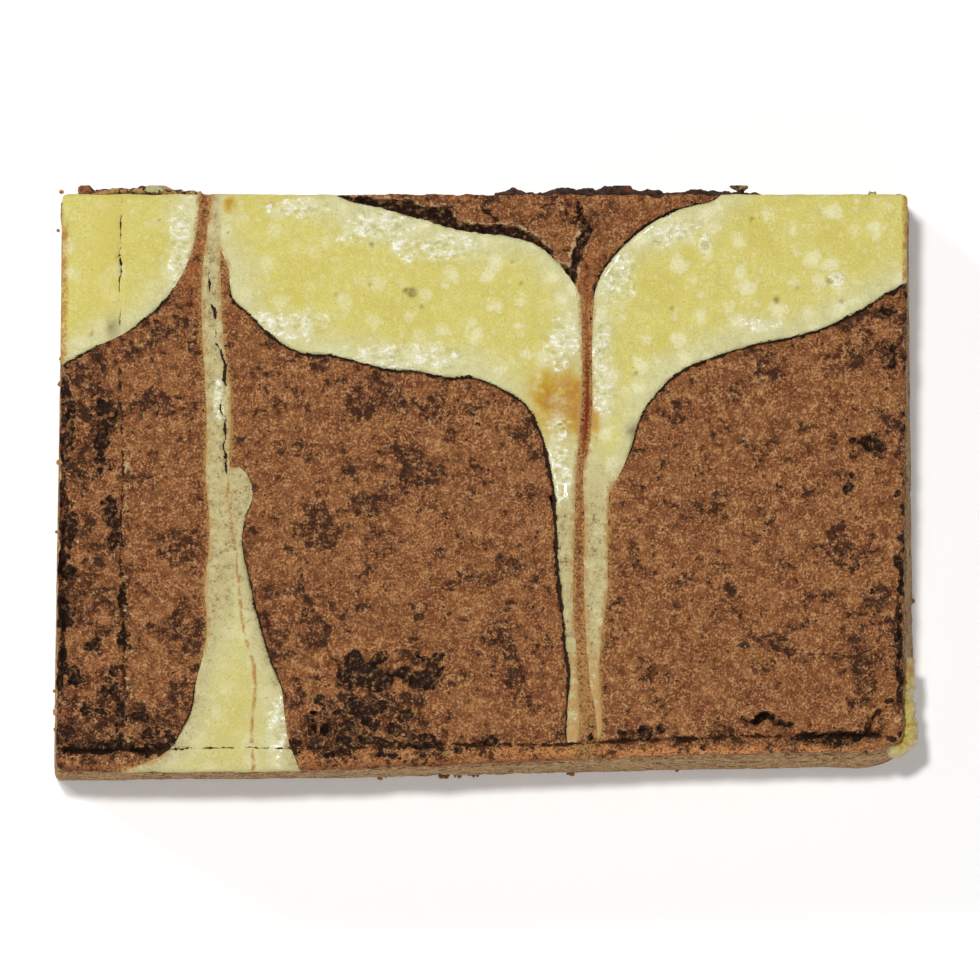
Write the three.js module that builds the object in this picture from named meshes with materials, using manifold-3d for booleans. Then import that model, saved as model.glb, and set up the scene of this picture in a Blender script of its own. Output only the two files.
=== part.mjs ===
// Cream cheese brownie: one portion cut from a tray bake.
// A dense chocolate crumb carries pools and stems of baked cream cheese, let into its top.
// Millimetres, +Z up. The origin is the middle of the flat underside, +X runs along the long
// side and +Y to the back edge.

import * as THREE from 'three';
import { mergeVertices } from 'three/addons/utils/BufferGeometryUtils.js';
import { ImprovedNoise } from 'three/addons/math/ImprovedNoise.js';
import Module from 'manifold-3d';

const wasm = await Module();
wasm.setup();

// Driving dimensions
const LENGTH = 92.4;
const WIDTH = 62.8;
const HEIGHT = 22;
const GAP = 0.3;

// The cut block
const TOP_STEP = 3;
const SIDE_STEP = 4.2;
const CRUST_WAVE = 0.16;
const CRUMB_WAVE = 0.32;
const STRIP_DROP = 0.45;
const EDGE_DROP = 0.35;
const SLAB = 6;

// The cream cheese: a shallow layer that is deeper under the three pools
const SKIN_DEPTH = 2.1;
const POOL_DEPTH = 3.4;
const POOL_REACH = 11;
const POOL_MIDDLES = [[-43, 26], [-6, 20], [30, 23]];
const OUTLINE_STEP = 2;

// The two dents that run along the left and the front edge
const LEFT_CREASE_X = -38.8;
const FRONT_CREASE_Y = -28.2;
const CREASE_WIDTH = 0.5;
const CREASE_DEPTH = 0.6;

const noise = new ImprovedNoise();

// Uneven value from -1 to 1 that changes over the given number of millimetres.
function uneven(x, y, z, millimetres) {
  return noise.noise(x / millimetres + 13.1, y / millimetres + 7.3, z / millimetres + 3.7);
}

// Rises smoothly from 0 to 1 as the value goes from one number to the other.
function smooth(from, to, value) {
  const share = THREE.MathUtils.clamp((value - from) / (to - from), 0, 1);
  return share * share * (3 - 2 * share);
}

function mix(a, b, share) {
  return a + (b - a) * share;
}

// Solids

function solidFrom(geometry, shift = null) {
  const bare = geometry.clone();
  bare.deleteAttribute('normal');
  bare.deleteAttribute('uv');
  const merged = mergeVertices(bare, 1e-4);
  const place = merged.getAttribute('position');
  if (shift) {
    const point = new THREE.Vector3();
    for (let i = 0; i < place.count; i += 1) {
      shift(point.fromBufferAttribute(place, i));
      place.setXYZ(i, point.x, point.y, point.z);
    }
  }
  return new wasm.Manifold(new wasm.Mesh({
    numProp: 3,
    vertProperties: new Float32Array(place.array),
    triVerts: new Uint32Array(merged.index.array),
  }));
}

// The largest body of a solid, without the loose scraps that a cut can leave.
function largestBody(solid) {
  return solid.decompose().reduce((a, b) => (b.volume() > a.volume() ? b : a));
}

function box(x0, x1, y0, y1, z0, z1) {
  const geometry = new THREE.BoxGeometry(x1 - x0, y1 - y0, z1 - z0);
  geometry.translate((x0 + x1) / 2, (y0 + y1) / 2, (z0 + z1) / 2);
  return solidFrom(geometry);
}

// An upright prism over a closed outline of [x, y] points.
function prism(outline, z0, z1) {
  const shape = new THREE.Shape(outline.map(([x, y]) => new THREE.Vector2(x, y)));
  const geometry = new THREE.ExtrudeGeometry(shape, { depth: z1 - z0, bevelEnabled: false });
  geometry.translate(0, 0, z0);
  return solidFrom(geometry);
}

// A lumpy ball, stretched to three radii.
function lump(middle, radii, detail, roughness) {
  const geometry = new THREE.IcosahedronGeometry(1, detail);
  const [mx, my, mz] = middle;
  return solidFrom(geometry, (point) => {
    const bump = 1 + roughness * uneven(point.x + mx, point.y + my, point.z, 0.7);
    point.set(
      mx + point.x * radii[0] * bump,
      my + point.y * radii[1] * bump,
      mz + point.z * radii[2] * bump,
    );
  });
}

// Outlines

// A smooth closed curve through a few points, moved outwards by grow.
function outline(points, grow) {
  const knots = points.map(([x, y]) => new THREE.Vector3(x, y, 0));
  const curve = new THREE.CatmullRomCurve3(knots, true, 'centripetal');
  const count = Math.round(curve.getLength() / OUTLINE_STEP);
  const places = curve.getSpacedPoints(count).slice(0, count);
  const flat = places.map((p) => new THREE.Vector2(p.x, p.y));
  const turn = Math.sign(THREE.ShapeUtils.area(flat));
  return flat.map((point, i) => {
    const along = flat[(i + 1) % count].clone().sub(flat[(i + count - 1) % count]).normalize();
    return [point.x + along.y * turn * grow, point.y - along.x * turn * grow];
  });
}

// The outline of a stem that runs from back to front: rows of [y, left x, right x].
function stem(rows, grow) {
  const left = rows.map(([y, x]) => [x, y]);
  const right = rows.map(([y, , x]) => [x, y]).reverse();
  return outline([...left, ...right], grow);
}

// Sides of the block: the base stands a little further out than the top, and the front edge
// runs in towards the right.

function leftSide(y, rise) {
  const back = smooth(-WIDTH / 2, WIDTH / 2, y);
  return mix(mix(-46.4, -45.5, back), mix(-45.5, -44.9, back), rise);
}

function rightSide(y, rise) {
  const back = smooth(-WIDTH / 2, WIDTH / 2, y);
  const corner = 0.9 * smooth(-26, -31, y);
  return mix(mix(46.0, 45.4, back), mix(44.5, 44.9, back), rise) - corner;
}

function frontSide(x, rise) {
  const right = smooth(-30, 40, x);
  const corner = 1.6 * smooth(40.5, 45.5, x);
  const foot = 0.35 * smooth(-41, -36, x) * smooth(-14, -22, x);
  return mix(-31.55 + foot + 1.4 * right, -31.1 + 2.1 * right, rise) + corner;
}

function backSide(rise) {
  return mix(31.0, 30.3, rise);
}

// The top sinks a little outside the two creases.
function topFace(x, y) {
  const leftStrip = STRIP_DROP * smooth(LEFT_CREASE_X, -LENGTH / 2, x);
  const frontStrip = STRIP_DROP * smooth(FRONT_CREASE_Y, -WIDTH / 2, y);
  const wave = CRUST_WAVE * (uneven(x, y, 0, 9) + 0.7 * uneven(x, y, 5, 3.5));
  return HEIGHT - leftStrip - frontStrip + wave;
}

function bareBlock() {
  const columns = Math.round(LENGTH / TOP_STEP);
  const rows = Math.round(WIDTH / TOP_STEP);
  const levels = Math.round((HEIGHT + SLAB) / SIDE_STEP);
  const geometry = new THREE.BoxGeometry(
    LENGTH, WIDTH, HEIGHT + SLAB, columns, rows, levels,
  );
  geometry.translate(0, 0, (HEIGHT - SLAB) / 2);
  const block = solidFrom(geometry, (point) => {
    const across = point.x / LENGTH + 0.5;
    const along = point.y / WIDTH + 0.5;
    const rise = THREE.MathUtils.clamp(point.z / HEIGHT, 0, 1);
    const edge = 0.5 * rise ** 8;
    const { x: flatX, y: flatY, z } = point;
    const left = leftSide(flatY, rise) + CRUMB_WAVE * Math.abs(uneven(0, flatY, z, 4)) + edge;
    const right = rightSide(flatY, rise) - CRUMB_WAVE * Math.abs(uneven(9, flatY, z, 4)) - edge;
    const front = frontSide(flatX, rise) + CRUMB_WAVE * Math.abs(uneven(flatX, 0, z, 4)) + edge;
    const back = backSide(rise) - CRUMB_WAVE * Math.abs(uneven(flatX, 9, z, 4)) - edge;
    point.x = mix(left, right, across);
    point.y = mix(front, back, along);
    if (z > HEIGHT - 0.01) {
      const steps = Math.min(
        across * columns, (1 - across) * columns, along * rows, (1 - along) * rows,
      );
      point.z = topFace(point.x, point.y) - (steps < 0.5 ? EDGE_DROP : 0);
    }
  });
  const below = box(-LENGTH, LENGTH, -WIDTH, WIDTH, -2 * SLAB, 0);
  return block.subtract(below);
}

// Cream cheese

const LEFT_POOL = [
  [-50, 35], [-29.8, 35], [-30.2, 29.5], [-31.3, 24.4], [-33.4, 20.1], [-36.8, 16.8],
  [-41.4, 14.2], [-45, 12.2], [-50, 11],
];

const MIDDLE_POOL = [
  [-28.7, 35], [-17.5, 35], [-15.6, 30.3], [-10.8, 29], [-4.6, 27.5], [1.6, 25.8], [6, 24.4],
  [9.2, 21.3], [10, 16], [10.1, 8], [9.5, -4], [9.4, -14], [9.6, -25.5], [8.7, -25.5],
  [8.4, -16], [7.6, -7], [7.2, 0.5], [6, 5.2], [3.4, 8.6], [-1, 10.6], [-8.4, 11.7],
  [-16.5, 13.1], [-22.2, 15.4], [-26.3, 18.7], [-27.7, 23.3], [-28.7, 28],
];

const RIGHT_POOL = [
  [50, 35], [29.8, 35], [24.6, 30], [18.8, 27.8], [14.3, 24.2], [12, 20.2], [11.5, 12],
  [11.1, 0], [11.2, -10], [11.4, -17], [11.6, -25], [12.3, -25], [12.5, -17], [13.1, -8],
  [13.2, -1.4], [15.6, 4.6], [18.5, 9.6], [23.6, 12.9], [31.5, 14.9], [39.3, 17.6],
  [44.5, 21], [50, 24.5],
];

const LEFT_STEM = [
  [35, -29, -28], [29, -29.2, -28.2], [24.4, -29.8, -28.2], [19, -30.1, -28.1],
  [13, -29.9, -27.5], [4, -29.6, -27.1], [0.8, -29.5, -25.5], [-1.4, -29.5, -24.9],
  [-5, -29.4, -25.3], [-11, -29.6, -24.9], [-17, -29.9, -23.5], [-22, -31, -22],
  [-27, -32.6, -20.8], [-30.2, -36, -19.9], [-31.6, -39, -19.5], [-35, -39.5, -19.3],
];

// How deep the cream cheese reaches below the top at a place.
function creamDepth(x, y) {
  const deepest = Math.max(...POOL_MIDDLES.map(([px, py]) => {
    const away = Math.hypot((x - px) / 1.4, y - py) / POOL_REACH;
    return Math.exp(-away * away);
  }));
  return SKIN_DEPTH + POOL_DEPTH * deepest + 0.25 * uneven(x, y, 0, 6);
}

// Everything above the underside of the cream cheese, lowered by sink.
function creamLayer(sink) {
  const rise = 8;
  const step = 4.6;
  const geometry = new THREE.BoxGeometry(
    LENGTH + 20, WIDTH + 20, rise,
    Math.round((LENGTH + 20) / step), Math.round((WIDTH + 20) / step), 1,
  );
  return solidFrom(geometry, (point) => {
    const under = point.z < 0;
    point.z = HEIGHT + (under ? -creamDepth(point.x, point.y) - sink : rise);
  });
}

function pools(grow) {
  const low = HEIGHT - SLAB - POOL_DEPTH;
  const high = HEIGHT + SLAB;
  const middle = prism(outline(MIDDLE_POOL, grow), low, high);
  const leftStem = prism(stem(LEFT_STEM, grow), low, high);
  return {
    cream_cheese_left: prism(outline(LEFT_POOL, grow), low, high),
    cream_cheese_middle: middle.add(leftStem),
    cream_cheese_right: prism(outline(RIGHT_POOL, grow), low, high),
  };
}

// The lump that was squeezed out of the cut at the front right corner: a lens along the side
// that swells towards the corner, and a shorter one that wraps round it.
function cornerLump(grow) {
  const [x, y, z] = [44.2, -23.6, 15.6];
  const lens = solidFrom(new THREE.IcosahedronGeometry(1, 4), (point) => {
    const bump = 1 + 0.1 * uneven(point.x, point.y + y, point.z, 0.6);
    const swell = mix(0.5, 1, smooth(0.5, -0.5, point.y));
    point.set(
      x + point.x * bump * (2.2 * swell + grow),
      y + point.y * bump * (5.5 + grow),
      z + point.z * bump * (2.9 * swell + grow),
    );
  });
  const wrap = lump([42.8, -28, z], [1.7 + grow, 1.1 + grow, 1.9 + grow], 2, 0.1);
  return lens.add(wrap);
}

// Torn places

// Middle x, y, radii in x and y, and depth of each pit where the crust has broken away.
const PITS = [
  [-12.9, -20.9, 2.8, 1.6, 1.5], [-7.1, -21, 2.4, 1.5, 1.3], [-12.8, -24.3, 2.2, 1.2, 1.1],
  [-18.5, -25.7, 0.7, 0.8, 2.2], [-16.9, -26.7, 0.75, 0.7, 2.2], [40.8, 3.4, 2, 1.1, 1.3],
  [38.8, -0.9, 0.7, 0.6, 1], [-40.3, 4.6, 1.3, 3.1, 1.2], [-39.9, -5.3, 1.2, 2.5, 1.1],
  [-44.7, 4.5, 1, 1.3, 1], [-44.7, -9.9, 1, 0.9, 0.9], [-44.5, -14.4, 1, 1.5, 1],
  [-40.3, -22.5, 1, 0.6, 0.9], [-35.8, -27.1, 1.8, 0.6, 0.9], [-43.3, -28.4, 2.2, 0.8, 1.1],
  [35.9, -27.7, 4.3, 0.75, 1.4], [16.7, -27.2, 2.9, 0.8, 1.2], [0.8, -27.7, 0.7, 0.6, 1],
  [11.1, -27.3, 0.6, 0.7, 1.1], [43.4, 18.2, 0.9, 0.6, 0.9], [43.6, 11.9, 0.7, 1.2, 0.9],
];

// The crack that gapes between the middle pool and the crust behind it.
const WIDE_CRACK = [
  [-15.2, 29.9], [-8.5, 29.4], [-3.7, 28.8], [0.6, 26.9], [5, 25.9], [8.6, 22.7], [9.9, 21.6],
  [9.5, 19.8], [7.2, 22.3], [3.5, 24.8], [-2.6, 26.4], [-8.5, 28.6],
];
const WIDE_CRACK_DEPTH = 4;

// Cracks and dents that are narrow grooves, as points along them.
const BACK_CRACK = [[9.9, 31], [10.4, 28], [10.9, 26.4], [10.2, 24], [9.7, 21.6]];
const FLAKE_SLIT = [[27.7, -25.4], [29.4, -25.7], [30, -24.9], [31.6, -25.5], [32.4, -26.3]];
const CORNER_SLIT = [[43.2, -23.6], [41.9, -24], [41.2, -25.6], [40.6, -27.4]];

function groove(points, width, depth) {
  const knots = points.map(([x, y]) => new THREE.Vector3(x, y, topFace(x, y) + 0.1));
  const path = new THREE.CatmullRomCurve3(knots);
  const wedge = new THREE.Shape([
    new THREE.Vector2(depth, 0), new THREE.Vector2(0, width / 2),
    new THREE.Vector2(-depth, 0), new THREE.Vector2(0, -width / 2),
  ]);
  const geometry = new THREE.ExtrudeGeometry(wedge, {
    extrudePath: path,
    steps: Math.max(4, Math.round(path.getLength() / 4)),
    bevelEnabled: false,
  });
  return solidFrom(geometry);
}

// A dent with a slight wander, from one place to another.
function wander(from, to, count, seed) {
  const points = [];
  for (let i = 0; i <= count; i += 1) {
    const x = mix(from[0], to[0], i / count);
    const y = mix(from[1], to[1], i / count);
    const drift = 0.35 * uneven(x, y, seed, 7);
    const upright = Math.abs(to[1] - from[1]) > Math.abs(to[0] - from[0]);
    points.push(upright ? [x + drift, y] : [x, y + drift]);
  }
  return points;
}

function tears() {
  const leftCrease = wander([LEFT_CREASE_X, 32], [LEFT_CREASE_X + 0.2, -29], 8, 2);
  const frontCrease = wander([-40, -28.9], [44, -27.4], 12, 4);
  const cuts = PITS.map(([x, y, rx, ry, deep]) => (
    lump([x, y, topFace(x, y) + 0.2], [rx, ry, deep + 0.2], 1, 0.35)
  ));
  cuts.push(groove(leftCrease, CREASE_WIDTH, CREASE_DEPTH));
  cuts.push(groove(frontCrease, CREASE_WIDTH, CREASE_DEPTH));
  cuts.push(groove(BACK_CRACK, 0.7, 2.4));
  cuts.push(groove(FLAKE_SLIT, 0.8, 1.2));
  cuts.push(groove(CORNER_SLIT, 0.5, 1));
  return wasm.Manifold.union(cuts);
}

// Crumbs that cling to the back edge, largest near the brown corner between the pools.
function backCrumbs() {
  const crumbs = [];
  for (let i = 0; i < 11; i += 1) {
    const x = mix(3, 28, i / 10) + 0.6 * uneven(i, 0, 0, 1.7);
    const size = 0.75 + 0.3 * uneven(i, 4, 0, 1.3);
    const z = HEIGHT - 1.6 + 0.9 * uneven(i, 8, 0, 1.9);
    crumbs.push(lump([x, 30.5, z], [1.3 * size, size, size], 1, 0.4));
  }
  crumbs.push(lump([-42.6, 30.4, HEIGHT - 1.5], [0.9, 0.9, 0.9], 1, 0.3));
  crumbs.push(lump([-38.6, 30.1, HEIGHT - 2], [1.5, 0.8, 1], 1, 0.3));
  crumbs.push(lump([-35.3, 30.2, HEIGHT - 2], [1.3, 0.9, 0.9], 1, 0.3));
  return wasm.Manifold.union(crumbs);
}

// The whole

const material = {
  crumb: new THREE.MeshStandardMaterial({ color: 0x7d5234, roughness: 0.85, metalness: 0 }),
  cream: new THREE.MeshStandardMaterial({ color: 0xd6ca80, roughness: 0.45, metalness: 0 }),
};

function meshFrom(solid, name, finish) {
  const { vertProperties, triVerts } = solid.getMesh();
  const geometry = new THREE.BufferGeometry();
  geometry.setAttribute('position', new THREE.BufferAttribute(vertProperties, 3));
  geometry.setIndex(new THREE.BufferAttribute(triVerts, 1));
  geometry.computeVertexNormals();
  const mesh = new THREE.Mesh(geometry, finish.clone());
  mesh.name = name;
  return mesh;
}

const group = new THREE.Group();
const block = bareBlock();
const limits = box(-LENGTH / 2, LENGTH / 2, -WIDTH / 2, WIDTH / 2, 0, HEIGHT + SLAB);
const sockets = Object.values(pools(GAP / 2));
const inlays = wasm.Manifold.union(sockets).intersect(creamLayer(GAP));
const gapingCrack = prism(outline(WIDE_CRACK, 0), HEIGHT - WIDE_CRACK_DEPTH, HEIGHT + SLAB);

const crumb = block
  .add(backCrumbs())
  .subtract(inlays)
  .subtract(gapingCrack)
  .subtract(tears())
  .subtract(cornerLump(GAP))
  .intersect(limits);
group.add(meshFrom(largestBody(crumb), 'brownie', material.crumb));

const layer = creamLayer(0);
for (const [name, plug] of Object.entries(pools(-GAP / 2))) {
  const pool = block.intersect(plug).intersect(layer);
  group.add(meshFrom(largestBody(pool), name, material.cream));
}
const lumpAtCorner = cornerLump(0).intersect(limits);
group.add(meshFrom(largestBody(lumpAtCorner), 'cream_cheese_corner', material.cream));

export default group;
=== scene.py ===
"""A cream cheese brownie on a pale floor: crust, crumb, cream cheese, crumbs and stage."""

import math
from functools import cache

import bmesh
import bpy
import numpy as np
from bpy.props import FloatProperty, FloatVectorProperty, PointerProperty
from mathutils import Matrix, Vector
from mathutils.geometry import tessellate_polygon


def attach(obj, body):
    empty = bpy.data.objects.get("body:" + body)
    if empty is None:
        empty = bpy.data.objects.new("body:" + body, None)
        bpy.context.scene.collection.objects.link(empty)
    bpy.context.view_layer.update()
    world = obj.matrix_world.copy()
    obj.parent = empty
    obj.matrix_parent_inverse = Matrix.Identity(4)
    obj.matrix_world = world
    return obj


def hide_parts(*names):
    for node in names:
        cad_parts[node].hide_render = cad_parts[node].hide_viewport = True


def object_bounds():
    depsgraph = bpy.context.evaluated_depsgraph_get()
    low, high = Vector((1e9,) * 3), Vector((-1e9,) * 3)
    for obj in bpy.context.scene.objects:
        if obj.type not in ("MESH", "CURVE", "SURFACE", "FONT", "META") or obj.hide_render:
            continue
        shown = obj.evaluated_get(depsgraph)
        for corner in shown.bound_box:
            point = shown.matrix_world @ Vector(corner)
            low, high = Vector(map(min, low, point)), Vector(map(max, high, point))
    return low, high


bl_info = {
    "name": "Cream Cheese Brownie",
    "version": (1, 0, 0),
    "blender": (4, 5, 0),
    "location": "3D View > Sidebar > Brownie",
    "description": "Builds a portion of chocolate brownie with pools of baked cream cheese",
    "category": "Add Mesh",
}

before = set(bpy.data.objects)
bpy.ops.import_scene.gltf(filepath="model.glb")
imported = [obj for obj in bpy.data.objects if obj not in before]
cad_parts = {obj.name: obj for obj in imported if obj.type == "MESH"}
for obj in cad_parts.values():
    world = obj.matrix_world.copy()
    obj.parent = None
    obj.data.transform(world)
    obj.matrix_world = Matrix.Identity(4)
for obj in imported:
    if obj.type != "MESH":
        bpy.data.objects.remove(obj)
CAD_LOW, CAD_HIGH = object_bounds()

# Lengths below are in millimetres, in the frame of the solids, and become metres in each mesh.
MM = 0.001
BOX_SLACK = 0.02
BOX_LOW = np.array(CAD_LOW) / MM + BOX_SLACK
BOX_HIGH = np.array(CAD_HIGH) / MM - BOX_SLACK

# The relief of the top and the crumbs on it rise this far above the top itself.
RELIEF_ROOM = 0.22
TOP = BOX_HIGH[2] - RELIEF_ROOM

# The height where the crust's cut sides meet those of the crumb
SEAM = 17.6

# The box that holds every plan of the top, and how round the top's corners are
PLAN_LOW, PLAN_HIGH = (-46.4, -31.8), (46.2, 31.4)
CORNER_RADIUS = 0.5

# The strips outside the two creases lie lower than the rest of the top.
LEFT_CREASE_X = -38.8
FRONT_CREASE_Y = -28.2
STRIP_DROP = 0.45

# The crumb's hidden lid: its depth below the seam, and its rings as shares of the outline
LID_DROP = 0.6
LID_RINGS = (0.985, 0.96, 0.9, 0.8, 0.66, 0.5, 0.33, 0.16)

# Depths of the crust's wide crack and of the narrow one that runs into it
CRACK_DEPTH = 2.0
BACK_CRACK_DEPTH = 1.1

# The cream cheese: a shallow layer that is deeper under the pools
SKIN_DEPTH = 2.0
POOL_DEPTH = 3.2
POOL_REACH = 11
POOL_MIDDLES = ((-43, 26), (-6, 20), (30, 23))

# Shares of the way down at the rows of each wall. The cream cheese has a ledge near 0.1.
CRUST_LEVELS = np.linspace(0, 1, 13)[1:]
CREAM_LEVELS = (0.05, 0.09, 0.12, 0.3, 0.5, 0.7, 0.85, 1)
LUMP_LEVELS = (0.15, 0.35, 0.6, 0.85, 1)
RIDGE_LEVELS = (0.2, 0.45, 0.7, 1)

# Edges steeper than this look sharp, in degrees.
SHARP_WALL = 60
SHARP_BLOCK = 75

# The stage: half the floor's side in metres, light from all round and the floor's own glow
FLOOR_HALF = 1.6
SKY_STRENGTH = 0.13
FLOOR_GLOW = 0.14

# The middle of the picture
VIEW_MIDDLE = (0.55, -1.09, TOP)

# Lights, in metres and watts: name, place, size, power and the one kind of light it gives
LAMPS = [
    ("key", (-0.1, 0.14, 1.6), 0.09, 16.0, "diffuse"),
    ("rake", (-0.75, 0.55, 0.62), 0.3, 4.2, "diffuse"),
    ("front box", (0.1, -0.75, 0.6), 0.3, 2.0, None),
    ("back glint", (-0.35, 0.45, 1.15), 0.12, 5.0, "glossy"),
    ("left glint", (-0.5, -0.05, 1.0), 0.12, 3.0, "glossy"),
    ("right glint", (0.4, 0.1, 1.2), 0.12, 3.0, "glossy"),
    ("front glint", (0.05, -0.5, 1.1), 0.12, 3.0, "glossy"),
]


# Numbers


def srgb(red, green, blue):
    """A colour of 0 to 255 as a linear one."""
    parts = np.array([red, green, blue]) / 255
    low, high = parts / 12.92, ((parts + 0.055) / 1.055) ** 2.4
    return tuple(float(v) for v in np.where(parts <= 0.04045, low, high))


def rise(low, high, value):
    """Goes smoothly from 0 to 1 as value goes from low to high."""
    share = np.clip((value - low) / (high - low), 0, 1)
    return share * share * (3 - 2 * share)


def mix(a, b, share):
    return a + (b - a) * share


def bell(value, width):
    return np.exp(-((value / width) ** 2))


# Noise

SHUFFLE = np.random.default_rng(7).permutation(256)
ARROWS = np.random.default_rng(8).normal(size=(256, 3))
ARROWS /= np.linalg.norm(ARROWS, axis=1, keepdims=True)


def corner_hash(x, y, z):
    return SHUFFLE[(SHUFFLE[(SHUFFLE[x & 255] + y) & 255] + z) & 255]


def noise(x, y, z, size, seed=0):
    """Gradient noise from about -1 to 1 that changes over size millimetres."""
    places = [np.broadcast_to(v, np.broadcast(x, y, z).shape) / size for v in (x, y, z)]
    places = [p + 17.3 * seed + 5.1 * i for i, p in enumerate(places)]
    corner = [np.floor(p).astype(int) for p in places]
    parts = [p - c for p, c in zip(places, corner)]
    fades = [t * t * t * (t * (t * 6 - 15) + 10) for t in parts]
    total = 0
    for dx in (0, 1):
        for dy in (0, 1):
            for dz in (0, 1):
                arrow = ARROWS[corner_hash(corner[0] + dx, corner[1] + dy, corner[2] + dz)]
                slope = sum(arrow[..., i] * (parts[i] - d) for i, d in enumerate((dx, dy, dz)))
                weight = 1
                for fade, d in zip(fades, (dx, dy, dz)):
                    weight = weight * (fade if d else 1 - fade)
                total = total + weight * slope
    return total * 1.6


def rough(x, y, z, size, octaves=3, seed=0):
    """Noise with finer and weaker noise on top, also from about -1 to 1."""
    total, weight, whole = 0, 1, 0
    for step in range(octaves):
        total = total + weight * noise(x, y, z, size / 2**step, seed + 3 * step)
        whole += weight
        weight /= 2
    return total / whole * 1.3


def cells(x, y, size, seed=0):
    """Distance to the nearest of scattered points and that point's own chance."""
    px, py = x / size, y / size
    cx, cy = np.floor(px).astype(int), np.floor(py).astype(int)
    nearest = np.full(px.shape, 9.0)
    chance = np.zeros(px.shape)
    for dx in (-1, 0, 1):
        for dy in (-1, 0, 1):
            first = corner_hash(cx + dx, cy + dy, seed)
            second = corner_hash(cx + dx, cy + dy, seed + 91)
            away = np.hypot(cx + dx + first / 256 - px, cy + dy + second / 256 - py)
            closer = away < nearest
            nearest = np.where(closer, away, nearest)
            chance = np.where(closer, corner_hash(cx + dx, cy + dy, seed + 47) / 256, chance)
    return nearest * size, chance


# Lines

# The side of a tile of points that are measured together
TILE = 4.0


def smooth_line(points, step, closed=False):
    """A curve through points, whose columns past x and y are carried along."""
    points = np.array(points, float)
    if closed:
        points = np.vstack([points[-1:], points, points[:2]])
    else:
        ends = 2 * points[:1] - points[1:2], 2 * points[-1:] - points[-2:-1]
        points = np.vstack([ends[0], points, ends[1]])
    pieces = []
    for a, b, c, d in zip(points, points[1:], points[2:], points[3:]):
        length = np.hypot(*(c - b)[:2])
        count = max(1, round(length / step))
        knots = np.cumsum([0] + [max(np.hypot(*(q - p)[:2]), 1e-6) ** 0.5
                                 for p, q in ((a, b), (b, c), (c, d))])
        t = np.linspace(knots[1], knots[2], count, endpoint=False)[:, None]

        def between(p, q, low, high):
            return p + (q - p) * (t - low) / (high - low)

        ab, bc = between(a, b, knots[0], knots[1]), between(b, c, knots[1], knots[2])
        cd = between(c, d, knots[2], knots[3])
        abc, bcd = between(ab, bc, knots[0], knots[2]), between(bc, cd, knots[1], knots[3])
        pieces.append(between(abc, bcd, knots[1], knots[2]))
    if not closed:
        pieces.append(points[-2:-1])
    return np.vstack(pieces)


def tiles(x, y):
    """Splits points into groups that lie close together."""
    names = np.floor(x / TILE).astype(int) * 4096 + np.floor(y / TILE).astype(int)
    order = np.argsort(names, kind="stable")
    return np.split(order, np.flatnonzero(np.diff(names[order])) + 1)


def gaps_to(starts, way, square, px, py):
    """Squared distance from each point to each segment, and the share along it."""
    px, py = px[:, None] - starts[:, 0], py[:, None] - starts[:, 1]
    share = np.clip((px * way[:, 0] + py * way[:, 1]) / square, 0, 1)
    return (px - share * way[:, 0]) ** 2 + (py - share * way[:, 1]) ** 2, share


def crossings(starts, way, px, py):
    """Whether a ray from each point crosses the closed line an odd number of times."""
    x0, y0 = starts[:, 0], starts[:, 1]
    px, py = px[:, None], py[:, None]
    crosses = (y0 > py) != (y0 + way[:, 1] > py)
    slope = way[:, 0] / np.where(way[:, 1] == 0, 1e-9, way[:, 1])
    return (crosses & (px < x0 + (py - y0) * slope)).sum(1) % 2 == 1


def measure(line, x, y, closed=False):
    """Distance to a line and the columns carried there. The distance is less than 0 inside a
    closed line and to the right of an open one."""
    starts = line if closed else line[:-1]
    way = (np.roll(line, -1, axis=0) if closed else line[1:]) - starts
    square = np.maximum((way[:, :2] ** 2).sum(1), 1e-9)
    flat_x, flat_y = np.ravel(x), np.ravel(y)
    away = np.empty(flat_x.size)
    carried = np.empty((line.shape[1] - 2, flat_x.size))
    for group in tiles(flat_x, flat_y):
        px, py = flat_x[group], flat_y[group]
        middle = np.array([[px.min() + px.max(), py.min() + py.max()]]) / 2
        radius = np.hypot(px - middle[0, 0], py - middle[0, 1]).max()
        reach, _ = gaps_to(starts, way, square, *middle.T)
        reach = np.sqrt(reach[0])
        near = np.flatnonzero(reach <= reach.min() + 2 * radius + 1e-6)
        gaps, share = gaps_to(starts[near], way[near], square[near], px, py)
        best = gaps.argmin(1)
        rows = np.arange(best.size)
        found = np.sqrt(gaps[rows, best])
        held = near[best]
        carried[:, group] = (starts[held, 2:] + share[rows, best][:, None] * way[held, 2:]).T
        if closed:
            if reach.min() > radius:
                within = crossings(starts, way, *middle.T)
            else:
                within = crossings(starts, way, px, py)
            found = np.where(within, -found, found)
        else:
            beside_x, beside_y = px - line[held, 0], py - line[held, 1]
            turn = way[held, 0] * beside_y - way[held, 1] * beside_x
            found = np.where(turn < 0, -found, found)
        away[group] = found
    shape = np.shape(x)
    return away.reshape(shape), [column.reshape(shape) for column in carried]


def signed(line, x, y):
    return measure(line, x, y, closed=True)


# The block's sides


def left_side(y, share):
    back = rise(-31.4, 31.4, y)
    return mix(mix(-46.15, -45.4, back), mix(-45.6, -45, back), share)


def right_side(y, share):
    back = rise(-31.4, 31.4, y)
    return mix(mix(46, 45.5, back), mix(44.5, 45, back), share) - 0.9 * rise(-26, -31, y)


def front_side(x, share):
    right = rise(-30, 40, x)
    low, high = -31.35 + 0.15 * rise(-41, -30, x) + 1.15 * right, -31.15 + 2.1 * right
    return mix(low, high, share) + 1.6 * rise(40.5, 45.5, x)


def back_side(x, share):
    return mix(31, 30.4 + 0.06 * noise(x, 0, 0, 8), share)


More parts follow.
